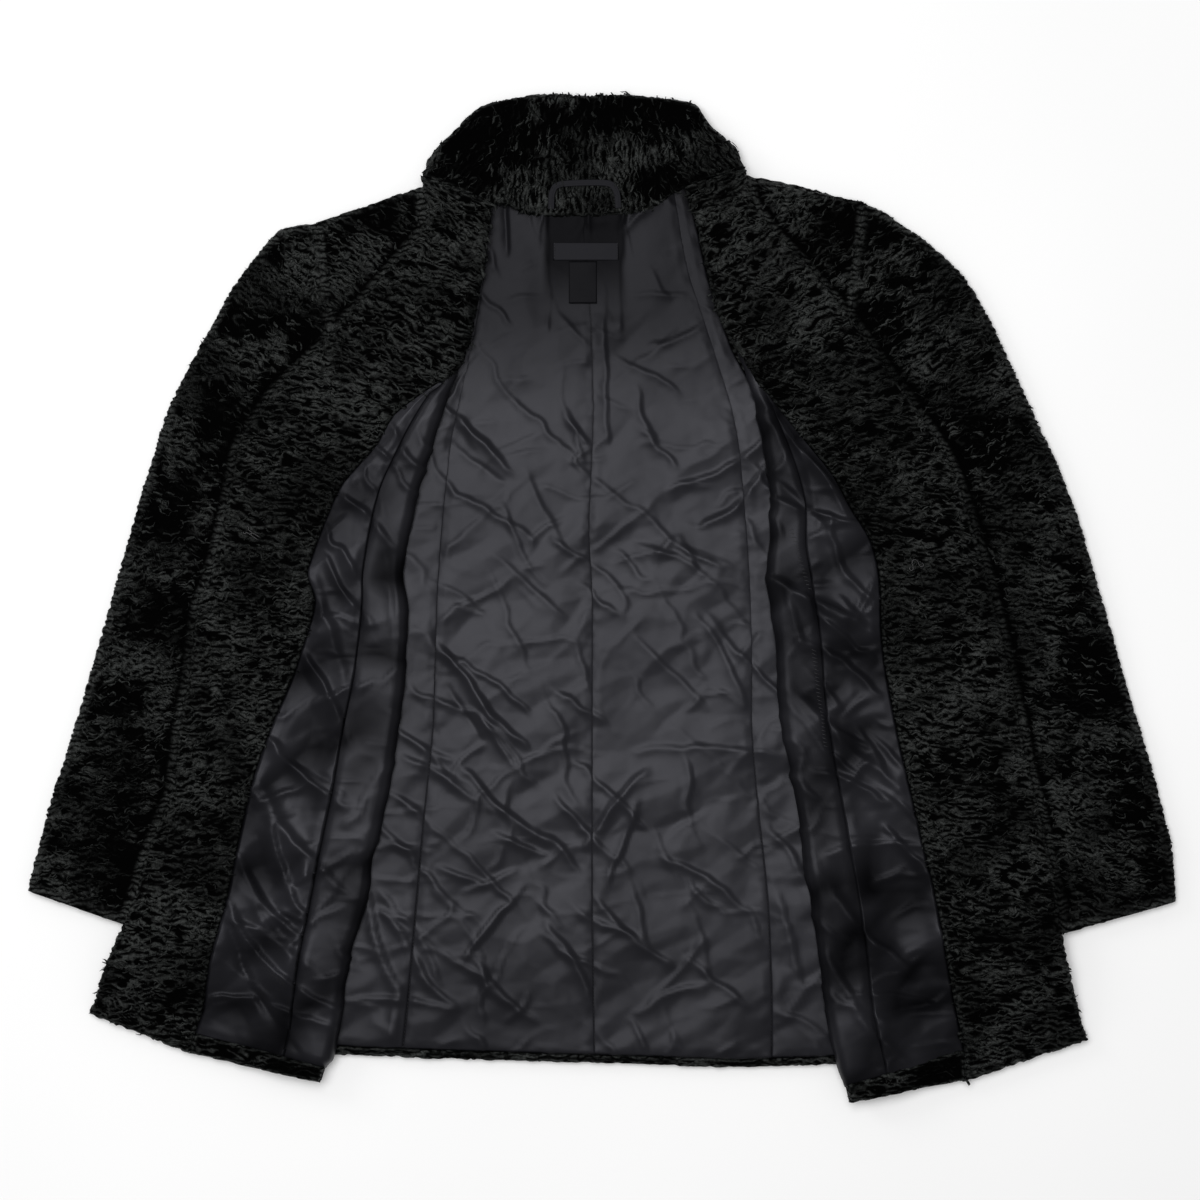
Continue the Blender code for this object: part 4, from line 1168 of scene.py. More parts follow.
def roll_lining(coat_side):
    """The satin that goes round the roll, from inside the fold up to the side seam."""
    table, seed = coat_side.front, coat_side.seed + 2
    start = coat_side.lining_from - ROLL_LINING_ABOVE
    places = even_places(table, start, lining_end(table), SATIN_STEP, ("roll_x", "roll_y"))
    sections = front_sections(coat_side, places)
    reach = np.einsum("ij,ij->i", sections.side - sections.roll, sections.heading) + SATIN_LAP
    top, under = (roll_face(sections, reach, above) for above in (GAP + LINING, GAP))
    x, y = top[..., 0], top[..., 1]
    distance = edge_distance(top)
    creases = rumpled(x, y, seed) + folded(x, y, coat_side.lining_folds) + 2.0
    rise = settled(creases * smooth(distance / 10))
    lifted = outward_normals(top, up=-1)
    top, under = top + lifted * rise[..., None], under + lifted * rise[..., None] * 0.9
    top, under = rounded(top, under, distance, LINING / 2)
    marks = {"catch": painted_light_on_front(x, y, seed)}
    return closed_cloth("satin_roll_" + coat_side.name, top, under, MATERIALS["satin"], 1, marks)


def front_hem(coat_side):
    """The front's turned-up hem, which shows as a band of fur below the lining."""
    last = len(coat_side.front) - 1
    sections = front_sections(coat_side, np.linspace(last - HEM_ROWS, last, 18))
    t = steps_across(apart(sections.seam, sections.roll).mean(), PILE_STEP)
    points = mix(sections.roll[:, None], sections.seam[:, None], t[:, None])
    reach = apart(sections.seam, sections.side)[:, None]
    past = apart(points, sections.side[:, None])
    beyond = np.einsum("ijk,ik->ij", points - sections.side[:, None], sections.heading)
    base = lining_height(sections.rows, np.where(beyond > 0, past / reach, 0.0))
    fold_top = (sections.low + 2 * FOLD_RADIUS)[:, None]
    strip = apart(sections.side, sections.roll)[:, None]
    base = np.where(beyond > 0, base, mix(fold_top, base, np.clip(1 + beyond / strip, 0, 1)))
    top, under = fur_layer(points, base, sections)
    return fur_cloth("fur_hem_" + coat_side.name, top, under, HEM_NAP, coat_side.seed + 4, 1.0)


def shell_rows(table):
    """Places in a front's table for the shell's rows: close on the chest, which shows, and at
    the hem's edge."""
    last = len(table) - 1
    edges = ("free_x", "free_y"), ("roll_x", "roll_y")
    chest = even_places(table, 0, CHEST_ROWS, PILE_STEP, *edges)
    skirt = even_places(table, CHEST_ROWS, last - BRIM_ROWS, HIDDEN_STEP, *edges)[1:]
    brim = np.linspace(last - BRIM_ROWS, last, 8)[1:]
    return np.concatenate([chest, skirt, brim])


def front_shell(coat_side):
    """The fur front: the leaf with its fur up, the fold, and the leaf with its fur down."""
    sections = front_sections(coat_side, shell_rows(coat_side.front))
    low, rows = sections.low, sections.rows
    backing, fur = [], []

    def lay_down(spot, height, fur_side):
        backing.append(place(spot, height))
        fur.append(place(spot, height + fur_side * FUR))

    lower = np.concatenate([np.linspace(0, 0.62, 66), np.linspace(0.62, 1, 7)[1:-1]])
    for t in lower:
        near, far = (sections.out, sections.middle) if t < 0.5 else (sections.middle, sections.centre)
        spot = mix(near, far, 2 * t if t < 0.5 else 2 * t - 1)
        lay_down(spot, mix(np.minimum(low, FUR + LEAF_STEP), low, smooth(1.5 * t)), 1)
    for turn in np.linspace(0, math.pi, 7):
        for grid, radius in ((backing, FOLD_RADIUS), (fur, FOLD_GAP / 2)):
            spot = sections.centre - sections.heading * radius * math.sin(turn)
            grid.append(place(spot, low + FOLD_RADIUS - radius * math.cos(turn)))
    after = np.maximum(apart(sections.side, sections.roll), FOLD_RADIUS + 2.0)
    side = sections.roll + sections.heading * after[:, None]
    for t in (0.5, 1.0):
        height = mix(low + 2 * FOLD_RADIUS, FUR + rows.under_side, t)
        lay_down(mix(sections.centre, side, t), height, -1)
    width = apart(sections.seam, sections.roll)
    seam = np.where((width > after + 2)[:, None], sections.seam, side + sections.heading * 2)
    for t in np.linspace(0, 1, 9)[1:]:
        height = lining_height(rows, np.full(1, t))[:, 0] - SHELL_SAG * math.sin(math.pi * t)
        lay_down(mix(side, seam, t), height, -1)
    for t in np.concatenate([np.linspace(0, 0.92, 7)[1:], np.linspace(0.94, 1, 5)]):
        height = facing_height(rows, np.full(1, t))[:, 0]
        lay_down(mix(seam, sections.free, t), height, -1)
    return furred_shell(coat_side, np.stack(fur, axis=1), np.stack(backing, axis=1), len(lower))


def furred_shell(coat_side, fur, backing, leaf):
    """The fur front with its pile, which stands on the lower leaf's columns and at the edges."""
    x, y = fur[..., 0], fur[..., 1]
    lower_leaf = np.zeros(x.shape)
    lower_leaf[:, :leaf] = 1.0
    distance = edge_distance(fur)
    pile, lay = curled_pile(x, y, coat_side.chest_nap, coat_side.seed + 1)
    fur, backing = rounded(fur, backing, distance, FUR / 2)
    outwards = outward_normals(fur, up=5)
    raised = curl_relief(pile) * np.maximum(lower_leaf, 1 - smooth(distance / EDGE_PILE))
    raised[:, leaf - 3 : leaf + 12] = 0.0
    x, y = fur[..., 0], fur[..., 1]
    # Painted shadow of the front's free edge on the chest's crests.
    pile = pile * mix(SHADE, 1.0, beyond_front(x, y, coat_side, SHADE_REACH))
    fur = fur + outwards * raised[..., None]
    shown = lower_leaf * beyond_front(fur[..., 0], fur[..., 1], coat_side) * smooth((distance - 3) / 5)
    marks = {"pile": pile, "lay": place(lay, 0.0), "shown": shown}
    return closed_cloth("fur_front_" + coat_side.name, fur, backing, MATERIALS["fur"], 8, marks)


def beyond_front(x, y, coat_side, reach=SHOWN_REACH):
    """From 0 at the front's free edge, which covers what is inside it, to 1 a reach outside."""
    edge = on_line([Top(row.free_x, row.free_y) for row in coat_side.front], y)
    return smooth((coat_side.mirror * (x - edge) - BESIDE_FRONT) / reach)


# ---- Sleeves and collar ----


UNDER_FRONT = 0.36  # share of a sleeve's width that lies under the front
CUFF_LIP = 5.0  # over this length the sleeve thins towards its open ends
CUFF_THIN = 0.28  # the share of its thickness that it loses, and that its slit opens by
HEAD_LAP = 1.8 * SEAM_LAP  # how far inwards a sleeve goes at its head, past the armhole's seam
HEAD_LENGTH = 20.0  # of the sleeve, over which it does so
CREASE_EDGE = 25.0  # how far from its two edges a sleeve's creases reach their full height


def sleeve_columns(width):
    """Shares of a sleeve's width for its columns: close at the inner fold and where it shows."""
    fold = np.linspace(0, 0.03, 4)[:-1]
    covered = np.linspace(0.03, UNDER_FRONT, 9)
    seen = mix(UNDER_FRONT, 1, steps_across((1 - UNDER_FRONT) * width, PILE_STEP))[1:]
    return np.concatenate([fold, covered, seen])


def sleeve(coat_side):
    """A fur tube that lies flat and is open at both ends. The pile is fine where it shows."""
    table, seed = coat_side.sleeve, coat_side.sleeve_seed
    places = even_places(table, 0, len(table) - 1, PILE_STEP, ("outer_x", "outer_y"))
    rows = rows_at(table, places)
    outer, inner = plan(rows.outer_x, rows.outer_y), plan(rows.inner_x, rows.inner_y)
    width = apart(outer, inner).mean()
    t = sleeve_columns(width)
    points = mix(inner[:, None], outer[:, None], t[:, None])
    from_head = apart(points, points[:1])
    points[..., 0] -= coat_side.mirror * HEAD_LAP * smooth(1 - from_head / HEAD_LENGTH)
    half = FUR + SLEEVE_SLIT / 2
    middle = place(points, half)
    across = apart(points, inner[:, None])
    aside = np.minimum(across, across[:, -1:] - across)
    along = np.minimum(apart(points, points[-1:]), from_head)
    swell = quarter(aside, 1.5 * half)
    lip = 1 - CUFF_THIN + CUFF_THIN * quarter(along, CUFF_LIP)
    x, y = points[..., 0], points[..., 1]
    creases = folded(x, y, coat_side.sleeve_folds) + 0.9 * noise(x / 60, y / 60, seed + 9)
    relief = creases * smooth(aside / CREASE_EDGE)
    top = middle + place(np.zeros_like(points), half * swell * lip + relief * lip)
    pile, lay = curled_pile(x, y, coat_side.sleeve_nap, seed)
    top = top + outward_normals(top) * curl_relief(pile)[..., None]
    top[:, :, 2] = np.maximum(top[:, :, 2], half * 0.6)
    keep = kept_columns(len(t), 12)
    under = middle[:, keep] - place(np.zeros((len(places), len(keep), 2)), (half * swell * lip)[:, keep])
    under[..., 2] = np.maximum(under[..., 2], 0.0)
    share = np.linspace(0, 1, len(keep))
    inside = np.clip(mix(FUR / width, 1 - FUR / width, share), 0, 1)
    slit_spots = mix(inner[:, None], outer[:, None], inside[:, None])
    open_mouth = (1 - quarter(along[:, keep], CUFF_LIP)) * FUR * CUFF_THIN
    slit_lift = np.sqrt(1 - (2 * share - 1) ** 6) * SLEEVE_SLIT / 2
    slit_top = place(slit_spots, half + slit_lift + open_mouth * (slit_lift > 0.1))
    slit_low = place(slit_spots, half - slit_lift - open_mouth * (slit_lift > 0.1))
    marks = {
        # Painted shadow of the front's free edge on the sleeve's crests.
        "pile": pile * mix(SHADE, 1.0, beyond_front(x, y, coat_side, SHADE_REACH)),
        "lay": place(lay, 0.0),
        "shown": beyond_front(x, y, coat_side) * smooth((np.minimum(aside, along) - 4) / 6),
    }
    return tube_mesh("fur_sleeve_" + coat_side.name, top, under, slit_top, slit_low, keep, marks)


def tube_mesh(name, top, under, slit_top, slit_low, keep, marks):
    """Joins a tube's outer and inner faces at its folded edges and at its two open ends."""
    rows, cols = top.shape[:2]
    kept = len(keep)
    number = np.arange(rows * cols).reshape(rows, cols)
    start = rows * cols
    below = number[:, keep].copy()
    below[:, 1:-1] = start + np.arange(rows * (kept - 2)).reshape(rows, kept - 2)
    start += rows * (kept - 2)
    roof = start + np.arange(rows * kept).reshape(rows, kept)
    start += rows * kept
    floor = roof.copy()
    floor[:, 1:-1] = start + np.arange(rows * (kept - 2)).reshape(rows, kept - 2)
    faces_of_tube = (top, under[:, 1:-1], slit_top, slit_low[:, 1:-1])
    points = np.concatenate([grid.reshape(-1, 3) for grid in faces_of_tube])
    turned_over = (grid_faces(below)[:, ::-1], grid_faces(roof)[:, ::-1])
    faces = np.concatenate([grid_faces(number), *turned_over, grid_faces(floor)])
    polygons = []
    for k, (a, b) in enumerate(zip(keep, keep[1:])):
        polygons.append([*number[0, a : b + 1], roof[0, k + 1], roof[0, k]])
        polygons.append([*number[-1, a : b + 1][::-1], roof[-1, k], roof[-1, k + 1]])
        polygons.append([below[0, k + 1], below[0, k], floor[0, k], floor[0, k + 1]])
        polygons.append([below[-1, k], below[-1, k + 1], floor[-1, k + 1], floor[-1, k]])
    whole = {}
    for mark, values in marks.items():
        size = 1 if values.ndim == 2 else values.shape[-1]
        filler = np.zeros((len(points) - rows * cols, size))
        whole[mark] = np.squeeze(np.concatenate([values.reshape(rows * cols, size), filler]))
    return mesh_of(name, points, faces, polygons, MATERIALS["fur"], whole)


def collar_layer(name, base, above, step, folds, seed, shown):
    """A layer of the collar, from its rim to the neck seam."""
    places = even_places(COLLAR, 0, len(COLLAR) - 1, step, ("rim_x", "rim_y"))
    rows = rows_at(COLLAR, places)
    neck, rim = plan(rows.neck_x, rows.neck_y), plan(rows.rim_x, rows.rim_y)
    t = steps_across(apart(rim, neck).mean(), step)
    neck = neck - unit(rim - neck) * SEAM_LAP
    points = mix(rim[:, None], neck[:, None], t[:, None])
    from_end = np.minimum(apart(points, points[:1]), apart(points, points[-1:]))
    points[..., 1] -= SEAM_LAP * smooth(1 - from_end / 16)
    crown = COLLAR_CROWN * np.sin(math.pi * t) * above
    height = base + rows.lift[:, None] + crown
    under, top = place(points, height), place(points, height + FUR)
    return fur_cloth(name, top, under, COLLAR_NAP, seed, shown, folds, sparse=SPARSE_COLLAR)


# ---- Trims ----


def hanging_loop():
    """A satin strap that lies on the collar, with its ends at the neck seam."""
    path = rows_at(STRAP_PATH, np.linspace(0, len(STRAP_PATH) - 1, 90))
    points = plan(path.x, path.y)
    run = unit(np.gradient(points, axis=0))
    aside = plan(-run[:, 1], run[:, 0])
    neck, rim = COLLAR[6].neck_y, COLLAR[6].rim_y
    share = np.clip((path.y - neck) / (rim - neck), 0, 1)
    height = 2 * FUR + 3 * GAP + COLLAR_CROWN * np.sin(math.pi * share) + STRAP_CLEAR
    across = np.linspace(0.5, -0.5, 9)
    grid = points[:, None] + aside[:, None] * (across * STRAP_WIDTH)[:, None]
    welt = 0.25 * np.cos(across * 2 * math.pi * 2)
    under = place(grid, height[:, None] * np.ones_like(across))
    top = under + place(np.zeros_like(grid), STRAP_THICK + welt)
    top, under = rounded(top, under, edge_distance(under), STRAP_THICK / 2)
    marks = {"catch": np.full(grid.shape[:2], STRAP_LIGHT_AND_TONE)}
    return closed_cloth("satin_loop", top, under, MATERIALS["label"], 3, marks)


def bare_label(name, box, curl, catch):
    """A woven label with nothing on it, sewn to the lining, its free end a little raised."""
    left, bottom, right, top_y = box
    x, y = np.meshgrid(np.linspace(left, right, 30), np.linspace(top_y, bottom, 22))
    bulge = np.sin(np.pi * (x - left) / (right - left)) * LABEL_BULGE
    lift = curl * smooth((top_y - y) / (top_y - bottom)) ** 2
    wave = 0.5 * noise(x / 13, y / 9, 4)
    under = place(plan(x, y), BACK_LINING + LABEL_CLEAR + bulge + lift + wave)
    top = under + [0, 0, LABEL_THICK]
    top, under = rounded(top, under, edge_distance(under), LABEL_THICK / 2)
    # The last argument sets how bright the label is drawn: its own tone and painted light together.
    return closed_cloth(name, top, under, MATERIALS["label"], 6, {"catch": np.full(x.shape, catch)})


def bent_wire(name, path, node, turn):
    """The fitting's bent wire, round and smooth, in the place of its solid."""
    low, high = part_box(node)
    knots = np.array(path)
    spin = Matrix.Rotation(math.radians(turn), 3, "Z")
    points = []
    for k in range(len(knots) - 1):
        p0, p1 = knots[max(k - 1, 0)], knots[k]
        p2, p3 = knots[k + 1], knots[min(k + 2, len(knots) - 1)]
        for t in (0, 0.25, 0.5, 0.75):
            points.append(on_curve(p0, p1, p2, p3, t, 0.35))
    points.append(knots[-1])
    turned = np.array([spin @ Vector(p) for p in points])
    middle = (turned.max(axis=0) + turned.min(axis=0)) / 2
    spot = np.array((low + high) / 2) / MM + [0, 0, WIRE_LIFT]
    curve = bpy.data.curves.new(name + "_path", "CURVE")
    curve.dimensions = "3D"
    curve.bevel_depth = WIRE * MM / 2
    curve.bevel_resolution = 3
    curve.use_fill_caps = True
    spline = curve.splines.new("POLY")
    spline.points.add(len(turned) - 1)
    for knot, point in zip(spline.points, (turned - middle + spot) * MM):
        knot.co = (*point, 1.0)
    made = plain_mesh(put(name + "_guide", curve), name)
    made.data.materials.clear()
    made.data.materials.append(MATERIALS["wire"])
    made.data.shade_smooth()
    return made


def plain_mesh(source, name):
    """The evaluated object as a plain mesh object, in place of its source."""
    graph = bpy.context.evaluated_depsgraph_get()
    mesh = bpy.data.meshes.new_from_object(source.evaluated_get(graph), depsgraph=graph)
    mesh.name = name
    made = put(name, mesh)
    bpy.data.objects.remove(source, do_unlink=True)
    return made


# ---- Node trees ----


def feed(tree, node, inputs):
    """Sets a node's inputs to values, or links them from other nodes' sockets."""
    for key, value in inputs.items():
        entry = node.inputs[key]
        if isinstance(value, bpy.types.NodeSocket):
            tree.links.new(value, entry)
        else:
            entry.default_value = value


def add(tree, kind, inputs=None, **settings):
    """A node with its settings, its inputs' values, and its links from other nodes' sockets."""
    node = tree.nodes.new(kind)
    for name, value in settings.items():
        setattr(node, name, value)
    feed(tree, node, inputs or {})
    return node


def linear(hex_colour):
    """A linear colour from an sRGB hex value."""
    channels = [int(hex_colour[k : k + 2], 16) / 255 for k in (1, 3, 5)]
    return (*[c / 12.92 if c <= 0.04045 else ((c + 0.055) / 1.055) ** 2.4 for c in channels], 1.0)


def lumps(size):
    """The scale of a noise whose lumps are some millimetres in size."""
    return 1 / (size * MM)


def bands(pitch):
    """The scale of a wave whose bands are some millimetres apart."""
    return math.pi / 10 / (pitch * MM)


# Real sizes of the patterns, in millimetres.
PAINTED_LIGHT_PATCH = 47.6  # patches of painted light, standing for pile that lies one way and catches the light
PILE_TUFT = 2.381
PILE_HAIR = 0.909  # a real one is 0.03 mm thick, and it is drawn coarser so that it just shows
DRAWN_RIDGE = 5.236  # the waves of painted highlight that repeat the ridges on faces with no relief
DRAWN_THREAD = 0.8976  # the satin's real threads are 0.1 mm apart, and they are drawn coarser too
SATIN_SHADE = 111.1  # where the satin's dye and finish are a little uneven
TAPE_RIB = 0.748
LACQUER_SPOT = 3.333
THREAD_PLY = 0.349
PAPER_CLOUD = 333.3


def new_material(name):
    """A material with its tree, its shader and its pieces' own coordinates."""
    material = bpy.data.materials.new(name)
    material.use_nodes = True
    tree = material.node_tree
    spot = add(tree, "ShaderNodeTexCoord").outputs["Object"]
    return material, tree, tree.nodes["Principled BSDF"], spot


def faux_persian_lamb():
    """Knitted acrylic pile, heat-curled into wavy ridges: near-black, with a soft painted highlight on the
    crests of the curls and painted shade in the valleys between them, both drawn from the pile's height."""
    material, tree, shader, spot = new_material("curled_acrylic_pile")
    pile = add(tree, "ShaderNodeAttribute", attribute_name="pile").outputs["Fac"]
    shown = add(tree, "ShaderNodeAttribute", attribute_name="shown").outputs["Fac"]
    fine = {"Vector": spot, "Detail": 2.0}
    painted_light_patches = add(tree, "ShaderNodeTexNoise", {"Vector": spot, "Scale": lumps(PAINTED_LIGHT_PATCH), "Detail": 3.0})
    hairs = add(tree, "ShaderNodeTexNoise", {**fine, "Scale": lumps(PILE_HAIR)})
    tufts = add(tree, "ShaderNodeTexNoise", {**fine, "Scale": lumps(PILE_TUFT), "Distortion": 1.2})
    waves = add(
        tree,
        "ShaderNodeTexWave",
        {**fine, "Scale": bands(DRAWN_RIDGE), "Distortion": 9.0, "Detail Scale": 1.4},
        bands_direction="Y",
    ).outputs["Fac"]
    # Painted highlight on the crests, from the pile's height; on faces with no relief the drawn waves stand
    # in for it.
    crest = add(
        tree,
        "ShaderNodeMapRange",
        {"Value": pile, "From Min": 0.44, "From Max": 0.97},
        interpolation_type="SMOOTHSTEP",
    ).outputs["Result"]
    painted_crest_light = add(tree, "ShaderNodeMix", {"Factor": shown, "A": waves, "B": crest}).outputs["Result"]
    # Painted light that varies in large patches and from tuft to tuft.
    for spread, low, high, least, most in ((painted_light_patches, 0.38, 0.6, 0.4, 1.25), (tufts, 0.32, 0.68, 0.3, 1.4)):
        bright = add(
            tree,
            "ShaderNodeMapRange",
            {
                "Value": spread.outputs["Fac"],
                "From Min": low,
                "From Max": high,
                "To Min": least,
                "To Max": most,
            },
        ).outputs["Result"]
        painted_crest_light = add(tree, "ShaderNodeMath", {0: painted_crest_light, 1: bright}, operation="MULTIPLY").outputs[0]
    tones = {"Factor": painted_crest_light, "A": linear("#030303"), "B": linear("#2e302f")}
    rough = {0: hairs.outputs["Fac"], 1: tufts.outputs["Fac"]}
    rough = add(tree, "ShaderNodeMath", rough, operation="ADD").outputs[0]
    bump = add(tree, "ShaderNodeBump", {"Height": rough, "Strength": 0.8, "Distance": 0.0008})
    gloss = add(tree, "ShaderNodeMath", {0: painted_crest_light, 1: 0.10}, operation="MULTIPLY").outputs[0]
    finish = {
        "Base Color": add(tree, "ShaderNodeMix", tones, data_type="RGBA").outputs["Result"],
        "Specular IOR Level": gloss,
        "Roughness": 0.46,
        "Sheen Weight": 0.01,
        "Sheen Roughness": 0.4,
        "Sheen Tint": linear("#9aa0a0"),
        "Normal": bump.outputs["Normal"],
    }
    feed(tree, shader, finish)
    return material


def tones_under_painted_light(tree, pattern, dark, light):
    """A cloth's two tones in a pattern, drawn darker towards near-black where its piece's painted
    light and tone is low, and that attribute itself."""
    catch = add(tree, "ShaderNodeAttribute", attribute_name="catch").outputs["Fac"]
    tones = {"Factor": pattern, "A": linear(dark), "B": linear(light)}
    colour = add(tree, "ShaderNodeMix", tones, data_type="RGBA").outputs["Result"]
    tones = {"Factor": catch, "A": linear("#050506"), "B": colour}
    return add(tree, "ShaderNodeMix", tones, data_type="RGBA").outputs["Result"], catch


def lining_satin():
    """Black polyester satin, woven and piece-dyed, with a faint weave and hardly any lint. Its colour
    follows the painted light that its piece holds: slate grey where it is painted lit, near-black in
    painted shade."""
    material, tree, shader, spot = new_material("woven_polyester_satin")
    thread = {"Vector": spot, "Scale": bands(DRAWN_THREAD), "Distortion": 0.6, "Detail": 1.0}
    warp = add(tree, "ShaderNodeTexWave", thread, bands_direction="X").outputs["Fac"]
    weft = add(tree, "ShaderNodeTexWave", thread, bands_direction="Y").outputs["Fac"]
    weave = add(tree, "ShaderNodeMath", {0: warp, 1: weft}, operation="MAXIMUM").outputs[0]
    shade = {"Vector": spot, "Scale": lumps(SATIN_SHADE), "Detail": 3.0}
    shade = add(tree, "ShaderNodeTexNoise", shade).outputs["Fac"]
    colour, catch = tones_under_painted_light(tree, shade, "#17171a", "#1e1e22")
    # The gloss follows the painted light too.
    gloss = add(tree, "ShaderNodeMath", {0: catch, 1: 0.2}, operation="MULTIPLY").outputs[0]
    dull = add(tree, "ShaderNodeMapRange", {"Value": shade, "To Min": 0.33, "To Max": 0.43})
    bump = add(tree, "ShaderNodeBump", {"Height": weave, "Strength": 0.12, "Distance": 0.0002})
    finish = {
        "Base Color": colour,
        "Roughness": dull.outputs["Result"],
        "Specular IOR Level": gloss,
        "Specular Tint": linear("#ececf6"),
        "Normal": bump.outputs["Normal"],
    }
    feed(tree, shader, finish)
    return material


def label_tape():
    """Taffeta label tape, woven with cut edges: matt and a shade darker than the lining."""
    material, tree, shader, spot = new_material("woven_taffeta_tape")
    ribs = {"Vector": spot, "Scale": bands(TAPE_RIB), "Detail": 1.0}
    ribs = add(tree, "ShaderNodeTexWave", ribs, bands_direction="Y").outputs["Fac"]
    bump = add(tree, "ShaderNodeBump", {"Height": ribs, "Strength": 0.4, "Distance": 0.0002})
    finish = {
        "Base Color": tones_under_painted_light(tree, ribs, "#1b1b1e", "#252529")[0],
        "Roughness": 0.55,
        "Specular IOR Level": 0.04,
        "Normal": bump.outputs["Normal"],
    }
    feed(tree, shader, finish)
    return material


def two_toned(name, kind, pattern, dark, light, finish, **settings):
    """A material that has only two tones in one pattern."""
    material, tree, shader, spot = new_material(name)
    spread = add(tree, kind, {"Vector": spot, **pattern}, **settings).outputs["Fac"]
    tones = {"Factor": spread, "A": linear(dark), "B": linear(light)}
    colour = add(tree, "ShaderNodeMix", tones, data_type="RGBA").outputs["Result"]
    feed(tree, shader, {"Base Color": colour, **finish})
    return material


def lacquered_wire():
    """Brass wire, bent and dipped in black lacquer: smooth, with small bright highlights."""
    pattern = {"Scale": lumps(LACQUER_SPOT), "Detail": 2.0}
    finish = {"Roughness": 0.32, "Specular IOR Level": 0.25}
    return two_toned("lacquered_brass_wire", "ShaderNodeTexNoise", pattern, "#050505", "#141416", finish)


def sewing_thread():
    """Spun polyester thread, dyed to match: matt, in short raised stitches."""
    return two_toned(
        "spun_polyester_thread",
        "ShaderNodeTexWave",
        {"Scale": bands(THREAD_PLY)},
        "#101012",
        "#2b2b30",
        {"Roughness": 0.6},
        bands_direction="DIAGONAL",
    )


def studio_paper():
    """Matt white background paper."""
    pattern = {"Scale": lumps(PAPER_CLOUD), "Detail": 1.0}
    finish = {"Roughness": 0.9, "Specular IOR Level": 0.1}
    return two_toned("matt_background_paper", "ShaderNodeTexNoise", pattern, "#f6f6f6", "#fbfbfb", finish)


MATERIALS = {
    "fur": faux_persian_lamb(),
    "satin": lining_satin(),
    "label": label_tape(),
    "wire": lacquered_wire(),
    "thread": sewing_thread(),
}


# ---- What the trees of locks and stitches share ----


def new_tree(name, **sizes):
    """A tree over a mesh, with an input for each size. A whole number makes a whole input."""
    tree = bpy.data.node_groups.new(name, "GeometryNodeTree")
    tree.interface.new_socket("Geometry", in_out="INPUT", socket_type="NodeSocketGeometry")
    for label, value in sizes.items():
        kind = "NodeSocketInt" if isinstance(value, int) else "NodeSocketFloat"
        tree.interface.new_socket(label, in_out="INPUT", socket_type=kind).default_value = value
    tree.interface.new_socket("Geometry", in_out="OUTPUT", socket_type="NodeSocketGeometry")
    return tree, tree.nodes.new("NodeGroupInput").outputs


def laid_along(tree, up, along, twist):
    """A turn that lays a piece's X along a way and its Z up, with a small twist of its own."""
    axes = {"Primary Axis": up, "Secondary Axis": along}
    lie = add(tree, "FunctionNodeAxesToRotation", axes, primary_axis="Z", secondary_axis="X").outputs[0]
    return add(tree, "FunctionNodeRotateRotation", {0: lie, 1: twist}, rotation_space="LOCAL").outputs[0]


def arch(tree):
    """From 0 at a line's two ends to 1 at its middle."""
    along = add(tree, "GeometryNodeSplineParameter").outputs["Factor"]
    angle = add(tree, "ShaderNodeMath", {0: along, 1: math.pi}, operation="MULTIPLY").outputs[0]
    return add(tree, "ShaderNodeMath", {0: angle}, operation="SINE").outputs[0]


def strand(tree, line, width, sides):
    """A line made solid, with its ends closed."""
    circle = add(tree, "GeometryNodeCurvePrimitiveCircle", {"Resolution": sides, "Radius": 1.0}).outputs[0]
    parts = {"Curve": line, "Profile Curve": circle, "Scale": width, "Fill Caps": True}
    return add(tree, "GeometryNodeCurveToMesh", parts).outputs[0]


def finished(tree, whole, material):
    """Ends a tree with its one smooth mesh, in its material."""
    whole = add(tree, "GeometryNodeSetShadeSmooth", {"Geometry": whole}).outputs[0]
    whole = add(tree, "GeometryNodeSetMaterial", {"Geometry": whole, "Material": material}).outputs[0]
    add(tree, "NodeGroupOutput", {"Geometry": whole})
    return tree


def grown(name, mesh, tree, **sizes):
    """What a tree makes of a mesh, as a plain mesh. Its sizes are set before it is evaluated."""
    guide = put(name + "_guide", mesh)
    modifier = guide.modifiers.new(tree.name, "NODES")
    modifier.node_group = tree
    inputs = {item.name: item.identifier for item in tree.interface.items_tree if item.in_out == "INPUT"}
    for label, value in sizes.items():
        modifier[inputs[label]] = value
    return plain_mesh(guide, name)


# ---- Curled locks ----


# How the locks swing together: lumps to a metre, and how far each one swings.
LOCK_SWINGS = ((90.0, 0.9), (240.0, 0.8))
FACING_SPACING = 0.0033  # metres: a facing is large, so its locks stand further apart


